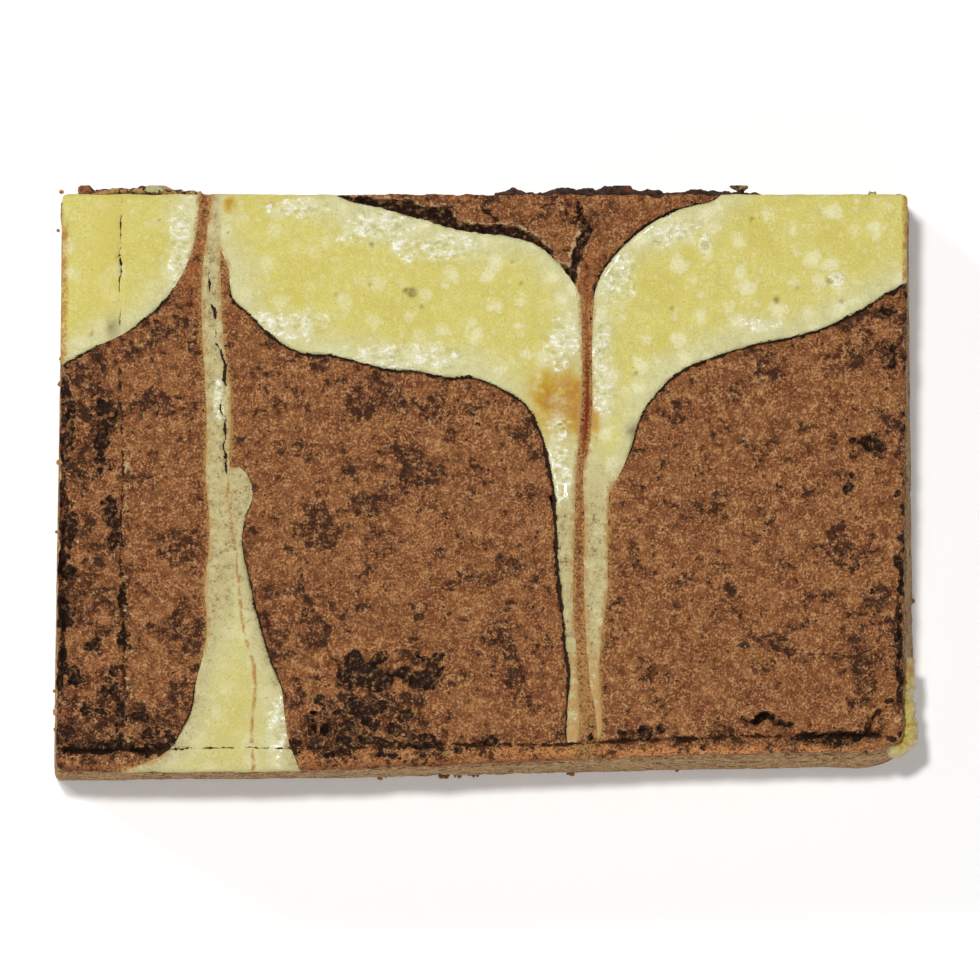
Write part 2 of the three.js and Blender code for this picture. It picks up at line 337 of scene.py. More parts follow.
def block_outline(share, step):
    """The block's outline at a share of its height, as a closed line from the front left."""
    front_x = np.arange(-45.4, 43.6, step)
    right_y = np.arange(-26.9, 29.9, step)
    back_x = np.arange(44.5, -44.6, -step)
    left_y = np.arange(29.8, -30.8, -step)
    return np.vstack([
        np.stack([front_x, front_side(front_x, share)], 1),
        np.stack([right_side(right_y, share), right_y], 1),
        np.stack([back_x, back_side(back_x, share)], 1),
        np.stack([left_side(left_y, share), left_y], 1),
    ])


def outer_distance(x, y):
    """Distance past the top's outline, less than 0 inside, with round corners."""
    past_x = np.maximum(x - right_side(y, 1), left_side(y, 1) - x) + CORNER_RADIUS
    past_y = np.maximum(y - back_side(x, 1), front_side(x, 1) - y) + CORNER_RADIUS
    round_part = np.hypot(np.maximum(past_x, 0), np.maximum(past_y, 0))
    return round_part + np.minimum(np.maximum(past_x, past_y), 0) - CORNER_RADIUS


def side_relief(x, y, z):
    """How far the cut face stands in: drag marks, pores and torn places."""
    drag = 0.12 + 0.07 * noise(x * 0.3, y * 0.3, z, 1.1, 31)
    lumps = 0.16 * (1 + rough(x, y, z, 2.4, 3, 32))
    torn = 0.55 * rise(0.32, 0.62, rough(x, y, z, 5.5, 3, 33))
    pores = 0.45 * rise(0.34, 0.5, noise(x, y, z, 0.95, 34))
    return np.clip(drag + lumps * 0.6 + torn + pores - 0.22, -0.06, 1)


# Outlines of the cream cheese: x, y and how wide the crack is there, where 0 is grown together

LEFT_POOL = [
    (-47.6, 33, 0), (-30.3, 33, 0), (-30.4, 30.3, 0), (-30.5, 28, 0), (-31, 24.9, 0),
    (-32.2, 21.9, 0.03), (-34, 19.1, 0.19), (-36, 17.2, 0.22), (-38.6, 15.4, 0.1),
    (-41, 14.3, 0.12), (-43.6, 12.9, 0.34), (-45.2, 12, 0.4), (-47.6, 10.9, 0.4),
]

LEFT_STEM_LEFT = [
    (33, -29, 0), (30.3, -29.1, 0), (25.5, -29.7, 0), (20.1, -30.2, 0), (13.8, -30, 0),
    (6.3, -29.6, 0), (-0.3, -29.7, 0), (-4.3, -29.3, 0), (-7, -29.3, 0.04),
    (-11.5, -29.8, 0), (-16, -29.6, 0), (-18.8, -30, 0.05), (-21.8, -30.8, 0.12),
    (-24.5, -31.2, 0.2), (-27.3, -32.6, 0.22), (-28.8, -33.6, 0.06), (-29.8, -35.2, 0),
    (-30.5, -36.9, 0),
    (-31.1, -38.6, 0), (-33, -41, 0),
]

LEFT_STEM_RIGHT = [
    (33, -28.2, 0), (24, -28.2, 0), (20.7, -28.1, 0), (17.8, -28, 0),
    (14.1, -27.7, 0), (10, -27.1, 0), (4.5, -27, 0), (1.2, -27.1, 0.05),
    (1.4, -26.3, 0.08), (0.2, -25.1, 0.1), (-1.8, -24.7, 0.1), (-4.2, -25.5, 0.12),
    (-7.1, -25.8, 0.13), (-10, -25.2, 0.15), (-12.8, -24.6, 0.19), (-16, -23.8, 0.15),
    (-19.5, -22.7, 0.16), (-22.3, -21.6, 0.12), (-25, -21.3, 0.07), (-28.2, -20.8, 0.05),
    (-29.8, -20.1, 0.1), (-31, -19.7, 0.1), (-33, -19.3, 0.1),
]

MIDDLE_POOL = [
    (-28.4, 33, 0), (-17.5, 33, 0), (-16.4, 30.6, 0), (-14.6, 29.6, 0), (-11.1, 28.8, 0),
    (-6.9, 27.6, 0), (-2.6, 26.4, 0), (2.5, 25.7, 0), (5.6, 24.8, 0), (7.6, 23.1, 0),
    (9.2, 21.3, 0.1), (10.1, 19.6, 0), (10.3, 15.9, 0), (10.4, 10.5, 0), (10.1, 5.2, 0),
    (9.7, 0, 0), (9.5, -6.9, 0), (9.4, -13.9, 0), (9.8, -19.2, 0), (9.7, -28.2, 0),
    (8.9, -28.2, 0.1), (8.7, -25, 0.15), (9, -20.5, 0.42), (8.6, -18.2, 0.45),
    (8.1, -12.8, 0.52), (7.6, -7.7, 0.62), (7.4, -2.2, 0.66), (6.8, 1.5, 0.62),
    (5.8, 5.2, 0.5), (4.2, 8, 0.4), (1.6, 9.7, 0.34), (-1.4, 10.8, 0.3),
    (-4.1, 10.8, 0.32), (-7.3, 11.5, 0.28), (-9.9, 11.6, 0.3), (-13, 12.3, 0.26),
    (-16, 13.1, 0.32), (-19.7, 13.5, 0.3), (-22.3, 14.9, 0.36), (-25.2, 17.7, 0.24),
    (-26.9, 19.3, 0.25), (-27.3, 22.3, 0), (-28, 24.3, 0), (-28.7, 26.5, 0),
]

RIGHT_POOL = [
    (47.6, 33, 0.1), (26.9, 33, 0.1), (24.8, 30, 0.14), (21.6, 29.1, 0.34), (18.6, 27.9, 0.36),
    (16.3, 26.3, 0.38), (13.8, 23.9, 0.36), (12, 21.1, 0.26), (11.6, 19.1, 0.02),
    (11.4, 13.8, 0), (11.4, 6.8, 0), (10.9, 2.6, 0), (10.5, 1.2, 0), (10.6, -4.5, 0),
    (10.5, -10.6, 0), (10.8, -17.3, 0), (11.2, -22, 0), (11.7, -24.5, 0), (12.1, -27.5, 0),
    (12.4, -27.2, 0), (12.2, -21, 0), (12.4, -17, 0), (13, -12.5, 0), (13.1, -6.7, 0),
    (13.3, -1.5, 0), (14.4, 0.6, 0.06), (15.6, 3.4, 0.17), (16.7, 6.7, 0.22),
    (18.5, 9.3, 0.34), (20.7, 11.4, 0.42), (24.5, 13, 0.42), (29.2, 14.4, 0.4),
    (33.1, 15.2, 0.38), (36.6, 16.3, 0.4), (39.9, 17.9, 0.42), (42.6, 19.6, 0.42),
    (44.8, 20.9, 0.35), (47.6, 22.6, 0.35),
]

WIDE_CRACK = [
    (-16.6, 30.2), (-14.6, 30.1), (-11.2, 29.9), (-8.6, 29.6), (-6, 28.9), (-3.9, 29.1),
    (-3, 27.6), (-0.4, 27.1), (2.6, 27), (4.8, 26.2), (6.4, 25), (7.8, 23.1), (9.1, 22.4),
    (9.6, 21.2), (8.6, 20.6), (6.4, 22.6), (3.2, 24.3), (0.6, 24.8), (-5, 26.4), (-11, 28),
    (-15, 29.2),
]

# Cracks across the top, as points along each with its width

BACK_CRACK = [(9.9, 29.6, 0.45), (10.1, 28.4, 0.6), (10.7, 27.3, 0.8), (11, 26.6, 0.95),
              (10.6, 25.8, 1.05), (10.1, 24.6, 1.05), (9.8, 23.4, 0.95), (9.5, 21.8, 0.8)]
BACK_BRANCH = [(8.7, 28.5, 0.4), (9.3, 27.5, 0.5), (9.9, 27.9, 0.4)]
BACK_NICK = [(-0.1, 28.8, 0.4), (0.6, 28.2, 0.5), (1.2, 27.7, 0.4)]
FLAKE_SLIT = [(27.5, -25.5, 0.5), (28.7, -25.9, 0.8), (29.4, -25.3, 1.3), (30.4, -25.2, 0.8),
              (31.4, -25.7, 0.5), (32.3, -26.3, 0.3)]
EDGE_SLITS = [
    [(42.4, -23.7, 0.3), (43.3, -23.6, 0.4), (44, -23.4, 0.4)],
    [(41.9, -24.7, 0.4), (41.3, -25.3, 0.6), (40.8, -26.5, 0.9), (40.6, -27.3, 0.7)],
    [(44.4, -9.5, 0.3), (44.15, -12.8, 0.7), (44, -15.5, 0.6), (44.3, -17.6, 0.7),
     (43.9, -19.8, 0.6), (44.2, -21.4, 0.6), (44, -23.5, 0.5)],
    [(-45, 4, 0.5), (-44.7, -3, 0.6), (-45, -9, 0.8), (-44.8, -16, 0.6), (-45.1, -22, 0.5)],
]
LEFT_CREASE = [(-38.8, 15, 0.1), (-38.9, 12, 0.22), (-38.5, 2, 0.2), (-38.8, -8, 0.24),
               (-38.4, -18, 0.26), (-38.7, -29.3, 0.3)]
FRONT_CREASE = [(-44.6, -28.8, 0.5), (-39.5, -28.9, 0.5), (-33.5, -28.7, 0.35),
                (-29.5, -28.6, 0.2), (-21, -28.6, 0.25), (-10, -28.5, 0.28), (-4, -28.2, 0.3),
                (0, -28.3, 0.3), (10.2, -28.1, 0.3), (16.5, -27.7, 0.5), (23, -27.6, 0.4),
                (27, -27.3, 0.3), (31, -27.4, 0.3), (36, -27.2, 0.5), (42.4, -27.3, 0.4),
                (43.6, -27.8, 0.3)]
POOL_CREASE = [(-38.6, 29.6, 0.06), (-38.8, 27, 0.09), (-38.7, 25, 0.11), (-38.9, 23.8, 0.26),
               (-38.7, 22.8, 0.24), (-38.9, 20.8, 0.09), (-38.7, 18.5, 0.05), (-38.9, 16, 0.09)]
STEM_CRACKS = [
    [(-29.35, 21.3, 0.13), (-29.3, 20.6, 0.26), (-29.35, 19.8, 0.2)],
    [(-29.2, 18.9, 0.13), (-28.9, 18.2, 0.2), (-28.6, 17.4, 0.2), (-28.7, 16.7, 0.13)],
    [(-28.6, 15.6, 0.13), (-28.6, 14.6, 0.21), (-28.1, 13.6, 0.23), (-27.8, 12.7, 0.23),
     (-27.6, 12, 0.23), (-27.7, 11, 0.26), (-27.5, 9.6, 0.21), (-28, 8.2, 0.26),
     (-28.2, 7.4, 0.2), (-27.9, 6.9, 0.2)],
    [(-27.6, 6.2, 0.2), (-27.7, 5.2, 0.23), (-27.5, 4.4, 0.23), (-27.8, 3.6, 0.16),
     (-27.6, 2.5, 0.23), (-27.55, 1, 0.2)],
]
CREAM_CRACKS = {
    "left": [POOL_CREASE],
    "middle": [[(x, y, 0.6 * width) for x, y, width in FRONT_CREASE], *STEM_CRACKS],
    "right": [FRONT_CREASE],
}

# Brown streaks in the cream cheese, as points along each with its width

FOOT_STREAK = [(-27.3, 0.2, 0.4), (-27.3, -2.6, 0.6), (-26.8, -6, 0.5), (-26.4, -8.2, 0.4),
               (-26.1, -12, 0.5), (-25.6, -16, 0.5), (-24.6, -19.8, 0.6), (-24.4, -22, 0.7),
               (-24.8, -25.8, 0.6), (-24.6, -30.9, 0.6)]


# Torn places in the crust: x, y, radii in x and y, and depth

TEARS = [
    (-13.6, -20.6, 2.1, 1.7, 1.3), (-11.4, -21.4, 1.8, 1.2, 1.2), (-15, -20.9, 0.9, 1.2, 1),
    (-8.6, -20.8, 0.9, 1, 1), (-6.6, -21.3, 1.8, 1.1, 1.2), (-5.4, -20.4, 0.9, 1.1, 1.1),
    (-13.9, -18.9, 0.5, 0.7, 0.8), (-11, -18.9, 0.8, 0.7, 0.8), (-5.9, -19.1, 1, 0.4, 0.6),
    (-13, -24.3, 2.3, 1, 0.9), (-14.6, -26.3, 1, 0.6, 0.6), (-12, -27.9, 1.6, 0.5, 0.7),
    (-18.4, -25.5, 0.55, 0.5, 2.4), (-18.1, -26.3, 0.4, 0.6, 2.4), (-16.9, -26.7, 0.68, 0.6, 2.6),
    (-16.2, -24.6, 0.8, 0.5, 0.8), (-15.5, -27.6, 0.9, 0.5, 0.8), (-12.2, -25.8, 0.9, 0.6, 0.7),
    (-9.6, -26.8, 0.7, 0.6, 0.7), (-8.4, -25.2, 0.8, 0.5, 0.7), (-10.6, -28.3, 0.8, 0.4, 0.6),
    (-17.8, -23.6, 0.5, 0.4, 0.6), (-19.9, -28.4, 0.9, 0.45, 1), (-6.5, -28.2, 1.6, 0.7, 0.8),
    (0.8, -27.8, 0.7, 0.55, 1),
    (11.2, -27.4, 0.5, 0.65, 1.1), (15.3, -26.9, 0.8, 0.5, 0.9), (17.2, -27, 1, 0.6, 1),
    (18.8, -26.8, 0.8, 0.5, 1), (23.4, -28.4, 0.5, 0.3, 0.7), (33.6, -27.5, 1.5, 0.5, 1.1),
    (36.6, -27.6, 2, 0.6, 1.2), (39.3, -27.4, 1.4, 0.55, 1), (40.8, 3.8, 1.6, 0.9, 1.2),
    (40, 2.9, 0.9, 0.5, 1), (42.2, 3.2, 0.7, 0.8, 1), (42, 0.8, 0.35, 0.35, 0.7),
    (38.7, -0.9, 0.6, 0.55, 1), (39, 0.5, 0.35, 0.3, 0.7), (44, -1.5, 0.3, 0.3, 0.7),
    (44.2, -6.2, 0.35, 0.3, 0.7), (43.3, 18.1, 0.8, 0.5, 0.8), (43.3, 14, 0.6, 0.4, 0.8),
    (43.4, 11.9, 0.5, 1.1, 0.8), (44.2, -9, 0.4, 1.1, 0.8), (44.2, -13.4, 0.4, 1.2, 0.8),
    (44, -16.8, 0.4, 0.7, 0.8), (44, -19.4, 0.4, 0.6, 0.8),
    (-40.4, 7.4, 1.2, 0.8, 1), (-40.2, 5.9, 1, 1, 1), (-40.8, 4, 0.6, 1.3, 1),
    (-40.9, 2, 0.5, 1, 0.9), (-40.1, -2.9, 0.8, 0.9, 0.9), (-39.7, -4.6, 0.9, 0.8, 0.9),
    (-39.3, -6.3, 0.6, 1.1, 0.9), (-44.4, 4.6, 0.9, 1.2, 0.9),
    (-44.5, -9.9, 0.9, 0.7, 0.8), (-44.6, -14.4, 0.9, 1.5, 0.9), (-40.2, -22.5, 0.9, 0.5, 0.8),
    (-39.4, -20.4, 0.8, 0.5, 0.7), (-35.9, -27.1, 1.7, 0.5, 0.8), (-44, -28.4, 1.6, 0.7, 0.9),
    (-41.4, -28.6, 1.6, 0.6, 0.9), (-36.2, -28.9, 1.6, 0.35, 0.8), (-38.9, -28.5, 1.5, 0.4, 0.9),
    (-34.4, -28.4, 1.6, 0.35, 0.9), (-38.7, -12.5, 0.4, 1.5, 0.7), (-38.4, -17, 0.5, 1.2, 0.7),
    (-38.8, -24.5, 0.6, 1.6, 0.8), (-41.5, -17.8, 0.8, 0.5, 0.8), (-36.5, -25.2, 1.2, 0.5, 0.8),
    (-43.6, -21, 0.7, 1.2, 0.8), (-42, -24.6, 1, 0.4, 0.7), (-43.8, -5, 0.6, 1.4, 0.8),
    (28.6, -25.8, 0.9, 0.22, 1.2), (29.5, -25.4, 0.5, 0.4, 1.3), (30.6, -25.5, 0.8, 0.2, 1.2),
    (31.7, -26.1, 0.6, 0.16, 1), (-16, -29.3, 1.4, 0.35, 0.7), (-11.5, -29.4, 1.6, 0.3, 0.7),
    (-7, -29.2, 1.2, 0.3, 0.6), (-3, -29, 0.8, 0.25, 0.5),
]

# Dark mottled blotches of the crust: x, y and radius

BLOTCHES = [
    (-33.5, 16.4, 2.4), (-36.7, 13.8, 2), (-41.5, 10.8, 2.2), (-17, 10.6, 2.2),
    (-12.7, 9, 2.6), (-9, 7.4, 2.6), (-4.8, 7.9, 2.4), (4.3, 4.2, 1.6), (-8, 1, 3),
    (-12.2, -2.2, 2.6), (-18.6, -4.3, 2.3), (-31.9, -7.5, 2.6), (-31.4, -15.5, 2.2),
    (-20.2, -15.5, 2.6), (-32.4, -24, 1.7), (2.7, -10.2, 2), (2.2, -18.2, 2.2),
    (39.9, 13.2, 2.6), (29.3, 12.7, 1.7), (38.9, -7.5, 2.4), (41, -12.8, 2.2),
    (16, -8.6, 1.7), (30.9, -17.6, 2), (39.9, -20, 2.2), (40.8, -22.7, 1.7),
    (27.1, -12.8, 1.6), (-14.5, -26, 4.2), (-9, -24.5, 2.6), (-43.5, 2, 2), (-43.5, -12, 2.2),
    (-16, -29, 1.8), (-11, -29.2, 1.8), (-6.5, -29, 1.5),
    (-41, -25, 3), (-36, -26.5, 2.6), (-43, 7, 1.6), (38, 17, 1.4), (-35.5, 8, 1.6),
]

# Pits in the cream cheese: x, y and radius

PITS = [
    (-12, 25.1, 0.35), (-7.7, 19.9, 0.62), (-8.4, 20.1, 0.4), (3.9, 20.9, 0.3),
    (3, 23.2, 0.25), (-9, 24.8, 0.2), (-12.2, 20.8, 0.2), (-15.8, 19.7, 0.25),
    (-6.7, 18.4, 0.25), (-27.3, 26.3, 0.2), (-41.8, 15.5, 0.25), (23.5, 24.9, 0.5),
    (36.8, 21.2, 0.55), (37.5, 21.5, 0.35), (31.1, 19.1, 0.45), (28.5, 27.8, 0.2),
    (19.9, 18.2, 0.22), (16.1, 11.3, 0.25), (11.9, 4.3, 0.2), (13.9, 8.9, 0.2),
    (33.3, 20.4, 0.25), (38, 19, 0.25), (-43.9, 26, 0.2), (-34.7, 27.6, 0.2),
]

# Glossy wrinkled places of the cream cheese: x, y and radii in x and y

GLOSSY = [
    (-8.2, 13.1, 7.5, 1.5), (-20.7, 16.6, 4, 1.6), (-11.1, 27.2, 4.6, 1.9), (-20, 29, 4, 1),
    (-4.5, 24.6, 4.5, 1.4), (8, 14.3, 1.9, 3.4), (19.5, 26.6, 3.4, 1.9), (14, 21.8, 1.8, 3),
    (12.3, 15, 1.1, 2.6), (-32.3, 24, 1.4, 5), (7.9, 2.2, 1.3, 5), (29, 16.6, 2.2, 0.8),
    (-21.9, -26, 0.9, 4), (-28.3, 9, 0.6, 2.5), (23.5, 25.2, 0.7, 0.7), (37.5, 21.6, 0.8, 0.8),
    (12.5, 10, 1.1, 3),
]

# Groups of crumbs scattered round the foot, and the crumbs seen in front: x, y and size

FOOT_GROUPS = 16
BASE_CRUMBS = [
    (-37.7, -31, 0.3), (-31.2, -30.9, 0.22), (-27, -30.9, 0.26), (-21.8, -30.9, 0.35),
    (-10, -30.8, 0.3), (-4.6, -30.8, 0.42), (-2.8, -30.9, 0.4), (-1, -30.8, 0.28),
    (9, -30.6, 0.32), (12.7, -30.4, 0.22), (20.5, -30.2, 0.24), (31, -29.9, 0.2),
]

# The lump of cream cheese at the front right corner, whose side clings to the cut side

LUMP_LOW, LUMP_HIGH = (42.3, -29.9), (46.5, -18.4)
LUMP_STEP = 0.14
LUMP_TOP = 16.2
LUMP_FOOT = 13.7
LUMP_SIDE = 44.2
CORNER_LUMP = [
    (44.2, -19), (45.5, -18.9), (45.9, -21.2), (45.75, -22), (45.55, -22.3), (45.9, -23.5),
    (45.98, -25), (46.17, -26.3), (46.17, -27.2), (46.05, -27.8), (45.6, -28.4), (44.6, -29),
    (43.8, -29.3), (43.2, -29), (42.8, -28.2), (43.4, -26.6), (43.9, -24.4), (44.2, -22),
]

# Single crumbs on the left side and the back left corner: x, y, height and radius

SIDE_CRUMBS = [
    (-45.5, 26.7, 18, 0.22), (-46, -22.1, 10, 0.2), (-46.05, -24.3, 8, 0.28),
    (-46.05, -26.1, 6, 0.2), (-45.1, 30.7, 20.6, 0.28), (-45, 23, 19, 0.15),
]

# The crumbs on the back edge, and a flat one of them that leans out on a thin stalk

RIDGE_LOW, RIDGE_HIGH = (-44.2, 29.6), (43, 31.6)
RIDGE_STEP = 0.15
BACK_RIDGE = [
    (-43.5, 29.8), (-43.3, 30.9), (-43, 31.35), (-42.2, 31.4), (-41.8, 30.9), (-41.6, 30.6),
    (-40.9, 30.85), (-37.7, 30.95), (-36.7, 31.15), (-35.6, 31.4), (-34.2, 31.25), (-33.3, 30.85),
    (-30.3, 30.55), (-28.9, 29.8), (0.8, 29.8), (1.1, 30.5), (2.1, 30.6), (3.1, 31), (4.2, 30.55),
    (6.2, 30.5), (7.1, 30.75), (8.2, 31.05), (9.6, 30.9), (11, 31.15), (11.8, 30.75), (12.7, 31.2),
    (14.7, 31.35), (15.5, 31.3), (15.8, 30.8), (16.5, 30.65), (17.4, 30.85), (18.4, 30.8),
    (19, 30.5), (20.8, 30.5), (21.8, 30.7), (22.9, 30.85), (23.7, 30.55), (24.4, 30.85),
    (25.2, 30.6), (29, 30.5), (30.4, 29.8), (40.6, 29.8), (41, 30.65), (41.6, 30.65), (42, 29.8),
]
LEANING_CRUMB = [
    (26.7, 30), (26.95, 30.8), (26.4, 31.05), (26.1, 31.4), (28, 31.4), (28, 31.1), (27.6, 30.85),
    (27.5, 30),
]


# The plan of the top


@cache
def pool_outline(name):
    """The closed outline of one body of cream cheese, sampled finely."""
    shapes = {
        "left": LEFT_POOL,
        "stem": [(x, y, gap) for y, x, gap in LEFT_STEM_LEFT]
        + [(x, y, gap) for y, x, gap in reversed(LEFT_STEM_RIGHT)],
        "middle": MIDDLE_POOL,
        "right": RIGHT_POOL,
    }
    return smooth_line(shapes[name], 0.55, closed=True)


POOLS = {"left": ["left"], "middle": ["stem", "middle"], "right": ["right"]}


def pool_distance(pool, x, y):
    """Distance to the outline of a pool, less than 0 inside, and the crack's width there."""
    best, width = None, None
    for name in POOLS[pool]:
        away, (gap,) = signed(pool_outline(name), x, y)
        if best is None:
            best, width = away, gap
        else:
            width = np.where(away < best, gap, width)
            best = np.minimum(best, away)
    return best, np.maximum(width, 0)


def top_level(x, y):
    """The broad form of the top, without grain."""
    left = STRIP_DROP * rise(LEFT_CREASE_X, -46.2, x)
    front = STRIP_DROP * rise(FRONT_CREASE_Y, -31.4, y)
    return TOP - left - front + 0.1 * rough(x, y, 0, 11, 2, 1)


def cream_depth(x, y):
    """How deep the cream cheese reaches below the top."""
    deep = np.maximum.reduce([
        bell(np.hypot((x - px) / 1.4, y - py), POOL_REACH) for px, py in POOL_MIDDLES
    ])
    return SKIN_DEPTH + POOL_DEPTH * deep + 0.45 * rough(x, y, 0, 4, 2, 2)


def seam_level(x, y):
    return SEAM + 0.35 * rough(x, y, 0, 5, 2, 16)


@cache
def wide_crack():
    return smooth_line(WIDE_CRACK, 0.5, closed=True)


def by_wide_crack(x, y):
    """A mask of the surroundings of the wide crack at the back."""
    crack, _ = signed(wide_crack(), x, y)
    return rise(0.6, 0.2, crack)


def oval(x, y, middle_x, middle_y, radius_x, radius_y):
    """Distance from a middle as a share of an oval's radii."""
    return np.hypot((x - middle_x) / radius_x, (y - middle_y) / radius_y)


class Plan:
    """A flat mesh that fills the places where distance is below 0, with its rim on the line."""

    def __init__(self, low, high, step, distance):
        self.step = step
        columns = int(np.ceil((high[0] - low[0]) / step)) + 1
        rows = int(np.ceil((high[1] - low[1]) / step)) + 1
        xs, ys = low[0] + step * np.arange(columns), low[1] + step * np.arange(rows)
        x, y = np.meshgrid(xs, ys)
        away = distance(x, y)

        # Points beside the line move onto it.
        slope_y, slope_x = np.gradient(away, step)
        steep = np.maximum(slope_x**2 + slope_y**2, 0.25)
        near = np.abs(away) < 0.52 * step * np.sqrt(steep)
        x = np.where(near, x - np.clip(away * slope_x / steep, -0.6 * step, 0.6 * step), x)
        y = np.where(near, y - np.clip(away * slope_y / steep, -0.6 * step, 0.6 * step), y)
        keep = (away < 0) | near

        # Whole squares within it, and half ones where three corners are
        index = np.arange(rows * columns).reshape(rows, columns)
        corners = [index[:-1, :-1], index[:-1, 1:], index[1:, 1:], index[1:, :-1]]
        held = np.stack([keep.ravel()[c] for c in corners], -1).reshape(-1, 4)
        cells_of = np.stack(corners, -1).reshape(-1, 4)
        middle = away.ravel()[cells_of].mean(1)
        count = held.sum(1)
        quads = cells_of[(count == 4) & (middle < 0.25 * step)]
        three = (count == 3) & (middle < 0.4 * step)
        tris = np.array([c[h] for c, h in zip(cells_of[three], held[three])]).reshape(-1, 3)
        quads, tris = self.without_pinches(quads, tris, rows * columns)

        # Only the points in use are kept.
        used = np.unique(np.concatenate([quads.ravel(), tris.ravel()]))
        order = np.full(rows * columns, -1)
        order[used] = np.arange(used.size)
        self.quads, self.tris = order[quads], order[tris]
        self.x, self.y = x.ravel()[used], y.ravel()[used]
        self.loops = self.rim_loops()

    @staticmethod
    def edges_of(quads, tris):
        sides = [quads[:, [i, (i + 1) % 4]] for i in range(4)]
        sides += [tris[:, [i, (i + 1) % 3]] for i in range(3)]
        return np.concatenate(sides)

    @classmethod
    def rim_edges(cls, quads, tris, total):
        edges = cls.edges_of(quads, tris)
        forward = edges[:, 0] * total + edges[:, 1]
        backward = edges[:, 1] * total + edges[:, 0]
        return edges[~np.isin(forward, backward)]

    @classmethod
    def without_pinches(cls, quads, tris, total):
        """Drops faces at points where the rim would touch itself."""
        for _ in range(40):
            rim = cls.rim_edges(quads, tris, total)
            starts = np.bincount(rim[:, 0], minlength=total)
            bad = starts > 1
            if not bad.any():
                break
            quads = quads[~bad[quads].any(1)]
            tris = tris[~bad[tris].any(1)]
        return quads, tris

    def rim_loops(self):
        rim = self.rim_edges(self.quads, self.tris, self.x.size)
        after = dict(zip(rim[:, 0].tolist(), rim[:, 1].tolist()))
        loops = []
        while after:
            first, here = after.popitem()
            loop = [first]
            while here != first:
                loop.append(here)
                here = after.pop(here)
            loops.append(np.array(loop))
        return loops


def slab(plan, top, levels, shift, lower=None):
    """A closed body from a plan, as its points, quads and triangles.

    top is the height of each point, and levels are the shares of the way down at each row of the
    wall. shift gives the place of a wall point from its x and y, the way out of the body, its
    top and its share. lower gives the height of the underside. Without it the rim is filled
    flat."""
    points = [np.stack([plan.x, plan.y, top], 1)]
    quads, tris = [plan.quads], [plan.tris]
    total = plan.x.size

    # The walls, row by row down from each loop of the rim
    last = {}
    for loop in plan.loops:
        above = loop
        along_x = np.roll(plan.x[loop], -3) - np.roll(plan.x[loop], 3)
        along_y = np.roll(plan.y[loop], -3) - np.roll(plan.y[loop], 3)
        length = np.maximum(np.hypot(along_x, along_y), 1e-6)
        out = np.stack([along_y / length, -along_x / length], 1)
        for share in levels:
            x, y, z = shift(plan.x[loop], plan.y[loop], out, top[loop], share)
            points.append(np.stack([x, y, z], 1))
            below = total + np.arange(loop.size)
            total += loop.size
            quads.append(np.stack([np.roll(above, -1), above, below, np.roll(below, -1)], 1))
            above = below
        last.update(zip(loop.tolist(), above.tolist()))

    # The underside: one flat fill between the lowest rows, or the plan once more
    if lower is None:
        everything = np.concatenate(points)
        rims = [np.array([last[i] for i in loop.tolist()]) for loop in plan.loops]
        flat = [[Vector((*everything[i, :2], 0)) for i in rim] for rim in rims]
        names = np.concatenate(rims)
        fill = names[np.array(tessellate_polygon(flat))]
        a, b, c = (everything[fill[:, i], :2] for i in range(3))
        (bx, by), (cx, cy) = (b - a).T, (c - a).T
        turn = bx * cy - by * cx
        tris.append(np.where((turn > 0)[:, None], fill[:, ::-1], fill))
    else:
        under = np.full(plan.x.size, -1)
        for top_index, low_index in last.items():
            under[top_index] = low_index
        inner = np.flatnonzero(under < 0)
        under[inner] = total + np.arange(inner.size)
        x, y = plan.x[inner], plan.y[inner]
        points.append(np.stack([x, y, lower(x, y)], 1))
        quads.append(under[plan.quads][:, ::-1])
        tris.append(under[plan.tris][:, ::-1])
    return np.concatenate(points), np.concatenate(quads), np.concatenate(tris)


def add_piece(name, finish, body, masks=None, sharp=None):
    """Adds a mesh object with one finish. body holds its points, in millimetres and kept
    inside the box of the solids, its quads and its triangles."""
    points, quads, tris = body
    points = np.clip(points, BOX_LOW, BOX_HIGH)
    mesh = bpy.data.meshes.new(name)
    mesh.vertices.add(len(points))
    mesh.vertices.foreach_set("co", (points * MM).astype(np.float32).ravel())
    mesh.loops.add(quads.size + tris.size)
    mesh.loops.foreach_set("vertex_index", np.concatenate([quads.ravel(), tris.ravel()]))
    mesh.polygons.add(len(quads) + len(tris))
    starts = np.concatenate([
        4 * np.arange(len(quads)), quads.size + 3 * np.arange(len(tris)),
    ])
    mesh.polygons.foreach_set("loop_start", starts)
    mesh.update(calc_edges=True)
    for label, values in (masks or {}).items():
        layer = mesh.attributes.new(label, "FLOAT", "POINT")
        layer.data.foreach_set("value", np.asarray(values, np.float32))
    mesh.polygons.foreach_set("use_smooth", np.ones(len(mesh.polygons), bool))
    if sharp:
        mesh.set_sharp_from_angle(angle=math.radians(sharp))
    mesh.materials.append(finish)
    piece = bpy.data.objects.new(name, mesh)
    bpy.context.collection.objects.link(piece)
    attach(piece, "root")
    return piece


# Node trees


class Wire:
    """One output of a node tree. Arithmetic on it adds Math nodes."""

    def __init__(self, recipe, socket):
        self.recipe, self.socket = recipe, socket

    def __add__(self, other):
        return self.recipe.maths("ADD", self, other)

    def __sub__(self, other):
        return self.recipe.maths("SUBTRACT", self, other)

    def __rsub__(self, other):
        return self.recipe.maths("SUBTRACT", other, self)

    def __mul__(self, other):
        return self.recipe.maths("MULTIPLY", self, other)

    __radd__ = __add__
    __rmul__ = __mul__


